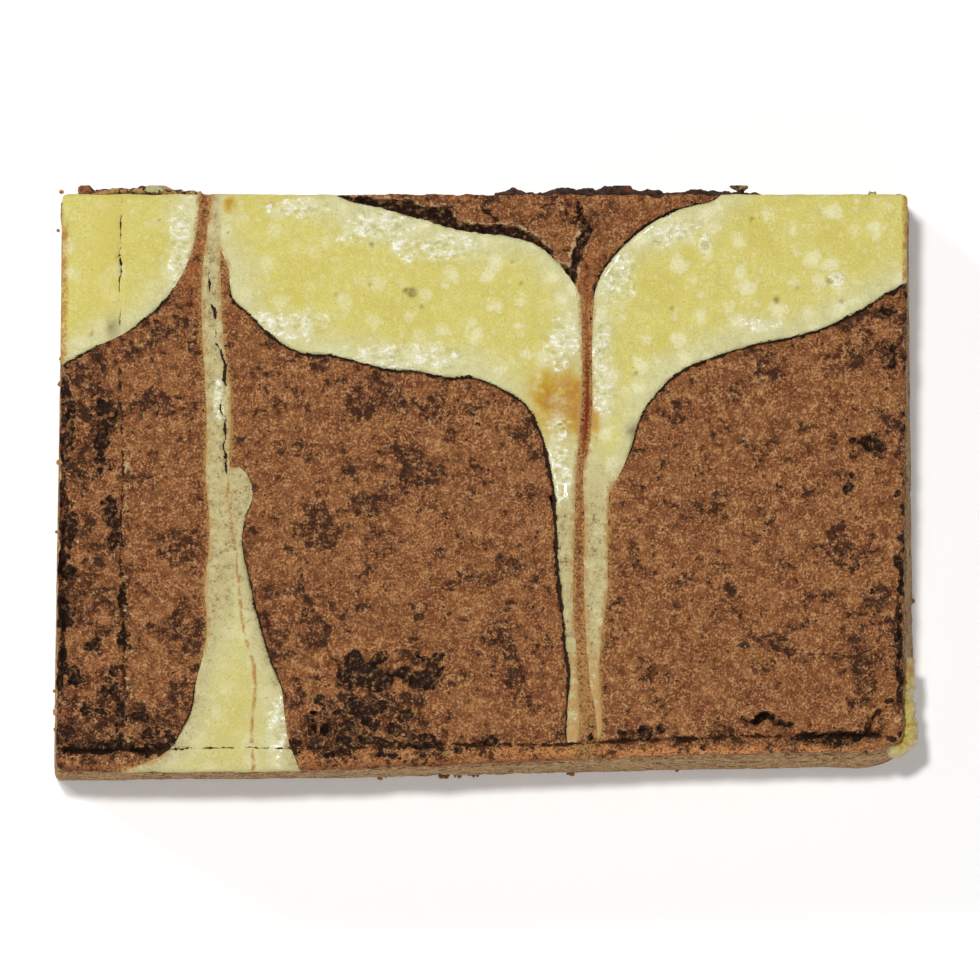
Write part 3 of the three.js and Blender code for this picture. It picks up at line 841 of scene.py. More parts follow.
class Recipe:
    """The node tree of one material, with the colour that it has so far."""

    def __init__(self, name, colour=None):
        self.colour = colour
        self.material = bpy.data.materials.new(name)
        self.material.use_nodes = True
        self.tree = self.material.node_tree
        self.tree.nodes.clear()

    def node(self, kind, settings=None, inputs=None, output=0):
        """Adds a node, sets it up, feeds its inputs and returns one of its outputs, if any."""
        made = self.tree.nodes.new("ShaderNode" + kind)
        for key, value in (settings or {}).items():
            setattr(made, key, value)
        for key, value in (inputs or {}).items():
            self.feed(made.inputs[key], value)
        return None if output is None else Wire(self, made.outputs[output])

    def feed(self, socket, value):
        if isinstance(value, Wire):
            self.tree.links.new(value.socket, socket)
        elif socket.type == "RGBA":
            socket.default_value = (*value, 1)
        else:
            socket.default_value = value

    def maths(self, operation, *values):
        return self.node("Math", {"operation": operation}, dict(enumerate(values)))

    def limit(self, value):
        return self.node("Clamp", {}, {"Value": value})

    def blend(self, share, first, second):
        """Goes from the first colour to the second."""
        inputs = {0: share, 6: first, 7: second}
        return self.node("Mix", {"data_type": "RGBA"}, inputs, 2)

    def rise(self, value, low, high):
        inputs = {"Value": value, "From Min": low, "From Max": high}
        return self.node("MapRange", {"interpolation_type": "SMOOTHSTEP"}, inputs)

    def mask(self, name):
        return self.node("Attribute", {"attribute_name": name}, {}, "Fac")

    def place(self, stretch=(1, 1, 1)):
        spot = self.node("TexCoord", {}, {}, "Object")
        return self.node("VectorMath", {"operation": "MULTIPLY"}, {0: spot, 1: stretch})

    def noise(self, size, detail, coarse, stretch=(1, 1, 1), shift=0.0):
        """Noise round 0.5 that changes over size millimetres, as strong at any detail."""
        spot = self.place(stretch)
        if shift:
            moved = {0: spot, 1: (shift, 1.7 * shift, 2.3 * shift)}
            spot = self.node("VectorMath", {"operation": "ADD"}, moved)
        inputs = {"Vector": spot, "Scale": 0.7 / (size * MM), "Detail": detail,
                  "Roughness": coarse}
        weights = [coarse**step for step in range(int(detail) + 1)]
        gain = sum(weights) / math.hypot(*weights)
        return (self.node("TexNoise", {}, inputs) - 0.5) * gain + 0.5

    def spots(self, size, shift):
        """Distance to the nearest of scattered points, where 1 is about size millimetres."""
        spot = self.node("VectorMath", {"operation": "ADD"},
                         {0: self.place(), 1: (shift, shift, shift)})
        return self.node("TexVoronoi", {}, {"Vector": spot, "Scale": 1 / (size * MM)}, "Distance")

    def bump(self, height, depth):
        """A relief that is depth millimetres deep where height goes from 0 to 1."""
        inputs = {"Height": height, "Distance": depth * MM, "Strength": 1.0}
        return self.node("Bump", {}, inputs)

    def coat(self, share, colour):
        """Lays a colour over the one so far."""
        self.colour = self.blend(share, self.colour, colour)

    def finish(self, roughness, specular, more):
        """Ends the tree with a surface and returns the material. more holds further inputs."""
        inputs = {"Base Color": self.colour, "Roughness": roughness,
                  "Specular IOR Level": specular}
        shader = self.node("BsdfPrincipled", {}, inputs | more, "BSDF")
        self.node("OutputMaterial", {}, {"Surface": shader}, None)
        return self.material


def hairline_shade(paint, ragged, wander):
    """The painted shade of a thin crack, from masks of the offset to its line and of its width."""
    offset = paint.maths("ABSOLUTE", paint.mask("crack") - 0.5 + ragged)
    half = paint.mask("gape") * (wander * 2.8 - 1.05)
    return paint.rise(half - offset, 0.0, 0.03)


def crust_material(look):
    """Baked chocolate crust: fine grain, dark nicks, and torn places that show the crumb."""
    paint = Recipe("baked chocolate crust")
    fine = paint.noise(0.17, 2.0, 0.65) - 0.5
    grain = paint.noise(0.55, 4.0, 0.75, shift=0.31) - 0.5

    # The baked skin: warm patches, flakes and grain
    patches = paint.noise(2.4, 4.0, 0.65, shift=0.57)
    density = paint.mask("crowd")
    paint.colour = paint.blend(paint.rise(patches, 0.38, 0.62), look.crust, look.crust_warm)
    tone = fine * 2.9 + grain * 1.4
    flakes = paint.noise(1.0, 5.0, 0.74, shift=0.07) + fine * 0.25
    busy = paint.rise(paint.noise(1.9, 5.0, 0.68, shift=0.13) + density * 0.38, 0.56, 0.86)
    paint.coat(paint.rise(flakes, 0.52, 0.6) * 0.3, look.crust_dark)
    paint.coat(paint.rise(flakes, 0.42, 0.36) * 0.25, look.crust_light)
    paint.coat(busy * 0.5, look.shade)
    paint.coat(paint.rise(tone, 0.0, -0.6) * (busy * 0.55 + 0.45), look.crust_dark)
    paint.coat(paint.rise(tone, 0.08, 0.6) * 0.75, look.crust_light)

    # Places of their own: the front edge, the streaks, rust and mottling
    paint.coat(paint.mask("edge") * paint.rise(tone, -0.6, 0.15), look.edge)
    warm = paint.blend(paint.rise(tone, -0.5, 0.4), look.crust_warm, look.streak)
    paint.coat(paint.mask("streak") * 0.85, warm)
    paint.coat(paint.mask("red") * (0.8 + tone * 0.5), look.red_streak)
    rusty = paint.mask("rust") * paint.rise(grain + fine, -0.2, 0.2) * 0.8
    rusty = rusty + paint.rise(paint.noise(0.3, 1.0, 0.5, shift=0.91), 0.74, 0.82) * 0.6
    paint.coat(paint.limit(rusty), look.rust)
    clumps = paint.noise(0.6, 5.0, 0.75, shift=0.83) + fine * 0.35
    nick = paint.rise(clumps + busy * 0.26, 0.74, 0.8)
    paint.coat(nick * 0.85, look.mottle)
    # Painted glints: tiny pale spots that stand in for highlights
    glints = paint.rise(paint.spots(1.3, 0.33), 0.075, 0.04)
    paint.coat(glints * 0.8, look.pale_crumb)
    # Small dark dots painted as the shade of pits
    pit_shade_dots = paint.rise(paint.spots(2.0, 0.21), 0.075, 0.05)
    pale = paint.rise(paint.mask("pale") + grain * 1.5 + fine, 0.4, 0.75)
    paint.coat(pale * 0.75, look.pale_crumb)
    joined = paint.rise(paint.mask("join") * (1 + tone * 1.3), 0.25, 0.95)
    paint.coat(joined * 0.9, look.join)

    # Torn places, which show the crumb under a lighter lip
    clod = paint.noise(0.45, 4.0, 0.7, shift=0.45) + fine * 0.5
    inner = paint.blend(paint.rise(clod, 0.36, 0.66), look.torn_dark, look.torn)
    inner = paint.blend(paint.rise(clod, 0.66, 0.76) * 0.55, inner, look.crumb)
    ragged = grain * 0.9 + fine * 0.5
    chips = paint.noise(1.1, 4.0, 0.62, shift=0.61) - 0.5
    edge = paint.mask("tear") + chips * 1.3 + grain * 0.5 + fine * 0.35
    lip = paint.rise(edge, 0.2, 0.42) * paint.rise(clod, 0.45, 0.6) * 0.8
    paint.coat(lip, look.crust_light)
    torn = paint.rise(edge, 0.48, 0.52)
    paint.coat(torn, inner)

    # Painted shade in the thin cracks, along the open seams and in small pits, and the cut sides
    wander = paint.noise(1.2, 3.0, 0.65, shift=0.27)
    slit = hairline_shade(paint, ragged * 0.55, wander)
    seam = paint.rise(paint.mask("seam") + ragged + wander * 0.5, 0.78, 0.83)
    slit = paint.maths("MAXIMUM", paint.maths("MAXIMUM", slit, seam), pit_shade_dots)
    paint.coat(slit * 0.9, look.slit)
    side, side_height = cut_face(paint, look, fine, grain)
    cut = paint.mask("cut")
    paint.coat(cut, side)
    height = tone * 0.35 - nick * 0.4 - torn * 0.6 - slit * 0.8
    height = height * (1 - cut) + clod * torn * 0.8 + side_height * cut
    return paint.finish(0.75, 0.14, {"Normal": paint.bump(height, 0.24)})


def cut_face(paint, look, fine, grain):
    """The cut sides: brown crumb with cream cheese dragged along it by the knife, redder under
    the crust. Returns its colour and relief."""
    drag = paint.noise(0.4, 3.0, 0.7, (0.7, 0.7, 1), 0.21) - 0.5
    wide = paint.noise(1.7, 5.0, 0.72, (0.5, 0.5, 1), 0.43) - 0.5
    lumps = paint.noise(1.3, 4.0, 0.7, shift=0.67)
    tone = fine * 1.8 + grain * 1.2 + drag
    colour = paint.blend(paint.rise(tone, -0.5, 0.45), look.crumb_dark, look.crumb)
    colour = paint.blend(paint.rise(lumps + fine * 0.4, 0.68, 0.76) * 0.7, colour, look.torn_dark)
    smear = paint.rise(wide * 1.1 + tone * 0.5, -0.15, 0.4)
    colour = paint.blend(smear * 0.6, colour, look.smear)
    colour = paint.blend(paint.rise(fine + drag, 0.17, 0.3) * 0.5, colour, look.pale_crumb)
    pores = paint.rise(paint.spots(0.9, 0.63) + fine * 0.4, 0.2, 0.12)
    colour = paint.blend(pores * 0.6, colour, look.torn_dark)
    height = paint.node("SeparateXYZ", {}, {"Vector": paint.place()}, "Z")
    under = paint.rise(height + (lumps - 0.5) * (5 * MM), 19.4 * MM, 21.2 * MM)
    baked = paint.blend(paint.rise(tone, -0.4, 0.4), look.rust, look.crust_warm)
    colour = paint.blend(under * 0.9, colour, baked)
    return colour, tone * 0.4 + drag * 0.3 - paint.rise(lumps, 0.64, 0.76) * 0.6 - pores * 0.5


def crumb_material(look):
    """The cut crumb of the sides and the underside."""
    paint = Recipe("cut chocolate crumb")
    fine = paint.noise(0.17, 2.0, 0.65) - 0.5
    grain = paint.noise(0.55, 4.0, 0.75, shift=0.31) - 0.5
    paint.colour, relief = cut_face(paint, look, fine, grain)
    paint.coat(paint.mask("deep") * 0.8, look.torn_dark)
    return paint.finish(0.75, 0.2, {"Normal": paint.bump(relief, 0.2)})


def loose_crumb_material(name, look, dark, light):
    """Crumbs that cling to the edges, some of them mixed with cream cheese."""
    paint = Recipe(name)
    fine = paint.noise(0.11, 2.0, 0.6) - 0.5
    grain = paint.noise(0.5, 4.0, 0.7) - 0.5
    paint.colour = paint.blend(paint.rise(grain * 1.5 + fine, -0.3, 0.35), dark, light)
    paint.coat(paint.mask("tan") * paint.rise(grain, -0.15, 0.1), look.crumb)
    paint.coat(paint.mask("red") * 0.7, look.rust)
    paint.coat(paint.rise(paint.mask("pale") + grain, 0.4, 0.6), look.cream_rim)
    return paint.finish(0.8, 0.3, {"Normal": paint.bump(grain + fine * 0.4, 0.3)})


def cream_material(look):
    """Baked cream cheese: yellow, with whitish bubbles under its skin and pale rims."""
    paint = Recipe("baked cream cheese")
    fine = paint.noise(0.16, 2.0, 0.65, shift=0.53) - 0.5
    soft = paint.noise(0.8, 4.0, 0.66, shift=0.37) - 0.5
    broad = paint.noise(4.2, 3.0, 0.55) - 0.5
    gloss, stem, cut = paint.mask("gloss"), paint.mask("stem"), paint.mask("cut")

    # Yellow towards the middle, with bubbles and a soft mottle
    centre = paint.limit(paint.mask("centre") + cut * 0.6)
    paint.colour = paint.blend(centre, look.cream_rim, look.cream)
    deep = paint.rise(broad * 1.3 + soft * 0.8 + centre * 0.12, 0.0, 0.4) * centre
    paint.coat(deep * 0.8, look.cream_deep)
    bubbles = paint.rise(paint.spots(2.7, 0.11) + soft * 0.6, 0.44, 0.16)
    small = paint.rise(paint.spots(1.2, 0.17) + soft * 0.5, 0.32, 0.08)
    paint.coat(bubbles * (paint.mask("bubbly") * 0.55 + 0.2), look.bubble)
    paint.coat(small * 0.3, look.bubble)
    tone = soft + fine * 1.1
    paint.coat(paint.rise(tone, 0.0, 0.35) * 0.3, look.bubble)
    paint.coat(paint.rise(tone, 0.0, -0.4) * 0.3, look.stem)
    paint.coat(paint.mask("mustard") * (0.6 + soft), look.mustard)

    # The greyish stems with their grit and dots
    paint.coat(stem * (0.75 + fine * 1.6 + soft), look.stem)
    grit = paint.noise(0.32, 3.0, 0.7, shift=0.63) - 0.5 + fine * 1.4
    paint.coat(stem * paint.rise(grit, 0.05, 0.5) * 0.35, look.bubble)
    sooty = stem * paint.rise(grit, -0.06, -0.42) * paint.rise(soft, -0.2, 0.14) * 0.9
    paint.coat(sooty, look.soot)
    dots = paint.rise(paint.spots(0.55, 0.41) + fine * 0.25, 0.17, 0.1)
    sparse = paint.rise(soft, 0.06, 0.16) * 0.35 + stem * paint.rise(soft, -0.15, 0.05) * 0.8
    paint.coat(paint.limit(dots * sparse), look.slit)

    # Stains, streaks, borders that grow together and smudges
    stained = paint.mask("stain") * (1.1 + soft * 1.8 + broad + fine * 0.5)
    paint.coat(paint.rise(stained, 0.0, 0.75) * 0.9, look.stain)
    paint.coat(paint.rise(stained, 0.55, 1.25) * 0.6, look.amber)
    streak = paint.rise(paint.mask("streak") * (1 + soft * 2.5 + fine * 2), 0.1, 1.1)
    paint.coat(streak * 0.8, look.amber)
    joined = paint.rise(paint.mask("join") * (1 + soft * 3 + fine * 3), 0.35, 1.0)
    paint.coat(joined * 0.95, look.join)
    paint.coat(paint.mask("soot") * (0.8 + soft), look.soot)

    # The cut sides, with chocolate crumb stuck to them
    drag = paint.noise(0.7, 3.0, 0.6, (0.2, 0.2, 1), 0.21) + fine * 0.4
    paint.coat(cut * paint.rise(drag, 0.48, 0.62) * 0.5, look.smear)
    stuck = cut * paint.rise(soft * 1.6 + fine + broad * 0.8, 0.24, 0.38) * 0.75
    paint.coat(stuck, look.crumb_dark)

    # Painted crack shade, and the wet shine: painted sheen with painted highlights on its crests
    ragged = soft * 0.5 + fine * 0.4
    wander = paint.noise(1.2, 3.0, 0.65, shift=0.27)
    crack = hairline_shade(paint, ragged * 0.5, wander)
    slit = paint.maths("MAXIMUM", paint.rise(paint.mask("slit") + ragged, 0.48, 0.53), crack)
    paint.coat(slit, look.slit)
    shine = gloss * (1 - slit)
    ripple = paint.noise(0.45, 3.0, 0.6, (1, 1.5, 1), 0.71)
    crest_highlight = paint.rise(ripple + fine * 0.4 + soft * 0.6, 0.63, 0.74) * paint.rise(shine, 0.2, 0.6)
    # Painted sheen: the glossy places are painted paler
    paint.coat(paint.rise(ripple + soft, 0.1, 0.6) * shine * 0.85, look.bubble)
    # Painted highlights: whitish crests of the glossy places
    paint.coat(crest_highlight * 0.85, look.sheen)
    wrinkle = ripple * (gloss * 1.1 + 0.3) + fine * 0.35 + soft * 0.4
    roughness = 0.5 - shine * 0.16 + soft * 0.2 + slit * 0.4
    return paint.finish(roughness, 0.3, {
        "Coat Weight": shine * 0.5, "Coat Roughness": 0.12,
        "Normal": paint.bump(wrinkle - slit + drag * cut, 0.16),
    })


def floor_material(colour):
    glow = {"Emission Color": (1.0, 1.0, 1.0), "Emission Strength": FLOOR_GLOW}
    return Recipe("pale floor", colour).finish(0.9, 0.1, glow)


# Relief of the crust


def spread(x, y, out, height):
    """How far the side stands out past the top's outline at a share of the height."""
    side_x = np.where(out[:, 0] > 0, right_side(y, height) - right_side(y, 1),
                      left_side(y, 1) - left_side(y, height))
    side_y = np.where(out[:, 1] > 0, back_side(x, height) - back_side(x, 1),
                      front_side(x, 1) - front_side(x, height))
    return side_x * out[:, 0] ** 2 + side_y * out[:, 1] ** 2


def wall_place(x, y, out, top, share, drop_to, ragged):
    """Where a wall point stands: on the cut side it follows the side, and elsewhere it falls
    straight down."""
    z = mix(top, drop_to, share)
    cut = rise(-0.5, -0.2, outer_distance(x, y))
    inward = side_relief(x, y, z) * rise(0, 0.12, share) * ragged
    move = (cut * (spread(x, y, out, z / TOP) - inward))[:, None] * out
    return x + move[:, 0], y + move[:, 1], z


def stem_middle(y):
    """The x of the middle of the left stem, which parts the crust in two."""
    return np.interp(y, (-32, -24, -18, 0, 20, 33), (-29, -27, -27, -27.5, -28.6, -28.7))


def crust_distance(x, y):
    """Distance to the crust's outline, less than 0 on the crust."""
    outer = outer_distance(x, y)
    nibble = 0.08 + 0.26 * rough(x, y, 0, 1.3, 4, 11)
    nibble = nibble + 0.4 * rise(0.3, 0.6, rough(x, y, 0, 3.5, 2, 12))
    away = outer + nibble
    crumbly = 0.4 * rough(x, y, 0, 0.8, 3, 13)
    gape = 0.4 + 0.4 * noise(x, y, 0, 2.2, 15)
    for pool in POOLS:
        line, width = pool_distance(pool, x, y)
        edge = gape * width + np.minimum(1, width * 4) * crumbly
        away = np.maximum(away, np.maximum(edge, 0) - line)
    return away


def line_mask(distance):
    """A mask that goes from 1 to 0 over the millimetre round a line, 0.5 on the line itself."""
    return np.clip(0.5 - distance, 0, 1)


def tear_field(x, y):
    """Distance to the nearest torn place, less than 0 inside it, and that place's depth."""
    away = np.full(x.shape, 9.0)
    depth = np.zeros(x.shape)
    for tx, ty, rx, ry, deep in TEARS:
        around = (np.abs(x - tx) < rx + 2) & (np.abs(y - ty) < ry + 2)
        gap = (oval(x[around], y[around], tx, ty, rx, ry) - 1) * min(rx, ry)
        closer = gap < away[around]
        away[around] = np.where(closer, gap, away[around])
        depth[around] = np.where(closer, deep, depth[around])
    inland = x - left_side(y, 1)
    reach = (0.8 + 1.8 * rough(0, y, 0, 4, 3, 61)) * rise(14, 10, y)
    island = 0.8 * (0.2 - rough(x, y, 0, 1.5, 3, 62))
    left = np.maximum(inland - reach, -island)
    right = right_side(y, 1) - x - 1.3 * rough(0, y, 0, 2.2, 3, 63) * rise(20, 8, y)
    edge = np.minimum(left, right)
    depth = np.where(edge < away, 0.7, depth)
    away = np.minimum(away, edge)
    away = away + 0.72 * rough(x, y, 0, 1.2, 4, 27) + 0.16 * noise(x, y, 0, 0.45, 36)
    away = away + 0.55 * rough(x, y, 4, 0.8, 4, 29) * rise(-35, -38, x)
    crack, _ = signed(wide_crack(), x, y)
    line, (width,) = measure(smooth_line(BACK_CRACK, 0.3), x, y)
    crack = np.minimum(crack, np.abs(line) - width * 0.42) + 0.3 * rough(x, y, 0, 0.8, 4, 14)
    deep = np.where(np.abs(line) < 0.8, BACK_CRACK_DEPTH, CRACK_DEPTH)
    return np.minimum(away, crack), np.where(crack < away, deep, depth)


def crowding(x, y):
    """How closely the dark nicks of the crust stand, from 0 to 1."""
    density = np.zeros_like(x)
    for bx, by, radius in BLOTCHES:
        away = np.hypot(x - bx, y - by) + 0.9 * radius * rough(x, y, bx, radius * 1.2, 3, 25)
        density = np.maximum(density, bell(np.maximum(away, 0), radius * 1.2))
    density = density * 0.9 + 0.34 * rough(x, y, 0, 4.5, 3, 29)
    density = density + 0.2 * rise(-38.4, -39.4, x) * rise(13, 9, y)
    density = density + 0.35 * bell(y + 28.3, 0.5) * rise(-33, -38, x)
    density = density + 0.45 * bell(y - FRONT_CREASE_Y - 0.3, 0.9) + 0.5 * rise(43, 44.4, x)
    density = density * (1 - 0.7 * rise(-28.9, -29.5, y) * rise(-2, 4, x))
    return np.clip(density, 0, 1)


def nearest_crack(cracks, x, y):
    """The offset to the nearest of some cracks, to either side of it, and its width there."""
    offset, gape = np.full(x.shape, 9.0), np.zeros(x.shape)
    for crack in cracks:
        away, (width,) = measure(smooth_line(crack, 0.3), x, y)
        closer = np.abs(away) - width / 2 < np.abs(offset) - gape / 2
        offset, gape = np.where(closer, away, offset), np.where(closer, width, gape)
    return offset, np.maximum(gape, 0) * (np.abs(offset) < 0.45)


def crust_relief(x, y):
    """Height of the crust and the masks that colour it."""
    # The broad form with grain and a worn rim
    outer = outer_distance(x, y)
    level = top_level(x, y)
    grain = noise(x, y, 0, 0.5, 22)
    z = level + 0.07 * rough(x, y, 0, 2.2, 3, 21) + 0.035 * grain
    edge_depth = 0.34 + 0.3 * rough(x, y, 0, 2.5, 2, 23)
    z = z - edge_depth * rise(-0.7, 0.1, outer + 0.35 * noise(x, y, 0, 1.1, 24)) ** 2

    # Dark nicks, and the rougher strip on the left
    density = crowding(x, y)
    z = z - 0.16 * rise(0.3, 0.9, rough(x, y, 0, 0.9, 4, 26) + 0.62 * density)
    z = z + 0.16 * rise(-38, -39.5, x) * rough(x, y, 0, 1.4, 4, 38)

    # Torn places and their lips
    gap, depth = tear_field(x, y)
    torn = rise(0.06, -0.12, gap)
    lump, _ = cells(x + 0.2 * grain, y, 0.95, 5)
    floor = depth * (0.72 + 0.4 * rough(x, y, 0, 1.5, 3, 28)) + 0.55 * (lump - 0.42)
    z = np.where(torn > 0, np.minimum(z, mix(z, level - floor, torn)), z)
    lip = bell(gap - 0.22, 0.2) * rise(0.05, 0.5, noise(x, y, 5, 1.0, 37)) * (depth > 0.6)
    z = z + 0.14 * lip

    # Thin cracks, and crumbs raised beside the left one
    slits = [LEFT_CREASE, FRONT_CREASE, BACK_BRANCH, BACK_NICK, FLAKE_SLIT, *EDGE_SLITS]
    offset, gape = nearest_crack(slits, x, y)
    beside = np.abs(offset + 0.1 * grain) - 0.3 * gape
    z = z - 1.5 * (gape - 0.15).clip(0) * rise(0.1, -0.06, beside)
    away = x - np.interp(y, *np.transpose(LEFT_CREASE[::-1])[1::-1])
    raised = bell(away - 0.4, 0.6) * rise(0, 0.5, noise(x, y, 7, 0.6, 5)) * rise(8, 4, y)
    z = z + 0.2 * raised

    # A raised flake, and the rough strip in front
    flake = rise(-25.4, -26, y) * rise(-27.4, -26.8, y) * rise(27, 28.2, x) * rise(33, 31.4, x)
    z = z + 0.22 * flake
    z = z + 0.14 * rise(-28.4, -29, y) * rough(x, y, 0, 0.9, 4, 39)

    # The masks
    strip = rise(FRONT_CREASE_Y, FRONT_CREASE_Y - 0.9, y + 0.4 * grain) * rise(-36, -20, x)
    masks = {"crowd": density, "tear": line_mask(gap), "gape": gape}
    masks["crack"] = np.clip(0.5 + offset, 0, 1)
    masks["edge"] = strip * mix(0.3, 1, rise(-8, 22, x))
    masks["rust"] = rise(-0.8, -0.1, outer) * rise(-26, -28, y) * rise(24, 4, x)
    left_streak = bell(x + 30.6 - 0.05 * (24 - y), mix(0.9, 3, rise(27, 16, y))) * rise(15, 22, y)
    middle_streak = bell(x - 11, 1.2) * rise(27, 21, y)
    masks["streak"] = np.clip(left_streak + middle_streak, 0, 1)
    masks["red"] = 1.2 * bell(x - 10.9, 0.9) * rise(1.5, 6, y) * rise(16, 11.5, y)
    crack, _ = signed(wide_crack(), x, y)
    rim = rise(0.4, 0.15, gap) * (crack < 0.8) * (crack > 0)
    back, _ = measure(smooth_line(BACK_CRACK, 0.3), x, y)
    rim = rim + bell(back + 0.75, 0.3) * rise(20.5, 22, y) * rise(28.5, 26.5, y)
    masks["pale"] = np.clip(0.8 * raised + 0.8 * rim + 0.35 * lip, 0, 1)
    join = np.zeros_like(x)
    seam = np.zeros_like(x)
    for pool in POOLS:
        line, width = pool_distance(pool, x, y)
        fused = rise(0.12, 0.02, width) * rise(0.1, 0.4, gap)
        join = np.maximum(join, fused * bell(np.maximum(line, 0), 0.4))
        # Painted shade along the open cracks at the pools' edges
        seam = np.maximum(seam, line_mask(line - 0.34 * width) * rise(0.04, 0.14, width))
    low = bell(x - 10.6, 1.3) * rise(-12, -18, y)
    masks["join"] = np.maximum(join, low)
    masks["seam"] = seam
    return z, masks


def over_piece(masks, points, past):
    """Masks of a plan's points over all points of the piece. past has the values of a mask past
    the plan, which are 0 where it names none."""
    longer = {}
    for name, values in masks.items():
        rest = np.zeros(len(points) - len(values)) + past.get(name, 0)
        longer[name] = np.concatenate([values, rest])
    return longer


def with_walls(plan, points, masks, inner):
    """Masks over the whole piece, whose walls get the mask cut on the cut sides and the mask
    called inner elsewhere."""
    wall = points[plan.x.size:]
    cut = rise(-0.55, -0.25, outer_distance(wall[:, 0], wall[:, 1]))
    masks = masks | {"cut": np.zeros(plan.x.size)}
    return over_piece(masks, points, {"cut": cut, inner: 1 - cut})


# Settings


class BrownieSizes(bpy.types.PropertyGroup):
    """Sizes that a user may change."""

    crust_step: FloatProperty(
        name="Crust mesh", description="Distance between points of the crust",
        default=0.21 * MM, min=0.2 * MM, unit="LENGTH")
    cream_step: FloatProperty(
        name="Cream mesh", description="Distance between points of the cream cheese",
        default=0.24 * MM, min=0.15 * MM, unit="LENGTH")
    side_step: FloatProperty(
        name="Side mesh", description="Distance between points of the cut sides",
        default=0.32 * MM, min=0.2 * MM, unit="LENGTH")
    frame_width: FloatProperty(
        name="Picture width", description="Width of the picture at the height of the top",
        default=104.26 * MM, unit="LENGTH")
    camera_height: FloatProperty(
        name="Camera distance", description="From the camera to the top of the brownie",
        default=2.4, unit="LENGTH")
    camera_elevation: FloatProperty(
        name="Camera elevation", description="Angle of the view above the floor",
        default=math.radians(87.4), subtype="ANGLE")


def colour_property(name, description, *rgb):
    return FloatVectorProperty(
        name=name, description=description, subtype="COLOR", size=3, default=srgb(*rgb),
        min=0, max=1)


class BrownieLook(bpy.types.PropertyGroup):
    """Colours that a user may change."""

    crust: colour_property("Crust", "Plain baked crust", 155, 100, 58)
    crust_warm: colour_property("Warm crust", "Redder patches of the crust", 142, 86, 51)
    crust_light: colour_property("Crust grain", "Light grains of the crust", 206, 150, 98)
    shade: colour_property("Blotches of the crust", "Shade of its mottled places", 104, 64, 44)
    crust_dark: colour_property("Crust specks", "Dark specks of the crust", 82, 45, 25)
    mottle: colour_property("Mottling", "Dark nicks of the crust", 56, 33, 23)
    torn: colour_property("Torn crumb", "Crumb in torn places", 85, 57, 42)
    torn_dark: colour_property("Deep crumb", "Depths of torn places", 46, 27, 18)
    edge: colour_property("Front edge", "Lighter crust in front of the front dent", 224, 152, 90)
    streak: colour_property("Streak", "Brown streaks in the cream cheese", 178, 108, 58)
    red_streak: colour_property("Dark streak", "Reddest part of the streaks", 128, 38, 8)
    rust: colour_property("Rust", "Reddish dots and edges of the crust", 134, 66, 38)
    pale_crumb: colour_property("Pale crumb", "Crumbs mixed with cream cheese", 208, 182, 136)
    join: colour_property("Soft border", "Where crust and cream cheese grow together", 184, 142, 84)
    crumb: colour_property("Cut crumb", "Crumb of the cut sides", 196, 152, 94)
    crumb_dark: colour_property("Dark crumb", "Darker crumb of the cut sides", 128, 86, 52)
    smear: colour_property("Smear", "Cream cheese dragged over the cut", 212, 176, 114)
    cream: colour_property("Cream cheese", "Middle of the pools", 206, 194, 97)
    cream_deep: colour_property("Deep cream cheese", "Yellower places of the pools", 200, 186, 80)
    cream_rim: colour_property("Pale cream cheese", "Skin near the rims", 202, 197, 141)
    bubble: colour_property("Bubbles", "Whitish bubbles under the skin", 229, 224, 178)
    mustard: colour_property("Mustard", "Mustard bands in the left pool", 205, 188, 90)
    stem: colour_property("Stem", "Greyish skin of the thin stems", 175, 155, 104)
    stain: colour_property("Stain", "Orange stain near the middle stem", 188, 148, 12)
    amber: colour_property("Amber", "Thin streaks and rims in the cream cheese", 166, 98, 2)
    soot: colour_property("Smudge", "Grey smudges", 112, 91, 54)
    # Painted highlights on the crests of the glossy places
    sheen: colour_property("Sheen", "Whitish crests of the glossy places", 250, 248, 236)
    # Painted shade inside thin cracks and pits, and the dark dots of the cream cheese
    slit: colour_property("Slit", "Inside of thin cracks", 48, 27, 14)
    back_crumb: colour_property("Back crumbs", "Crumbs on the back edge", 88, 61, 45)
    floor: colour_property("Floor", "Pale floor", 247, 247, 247)


# Operators


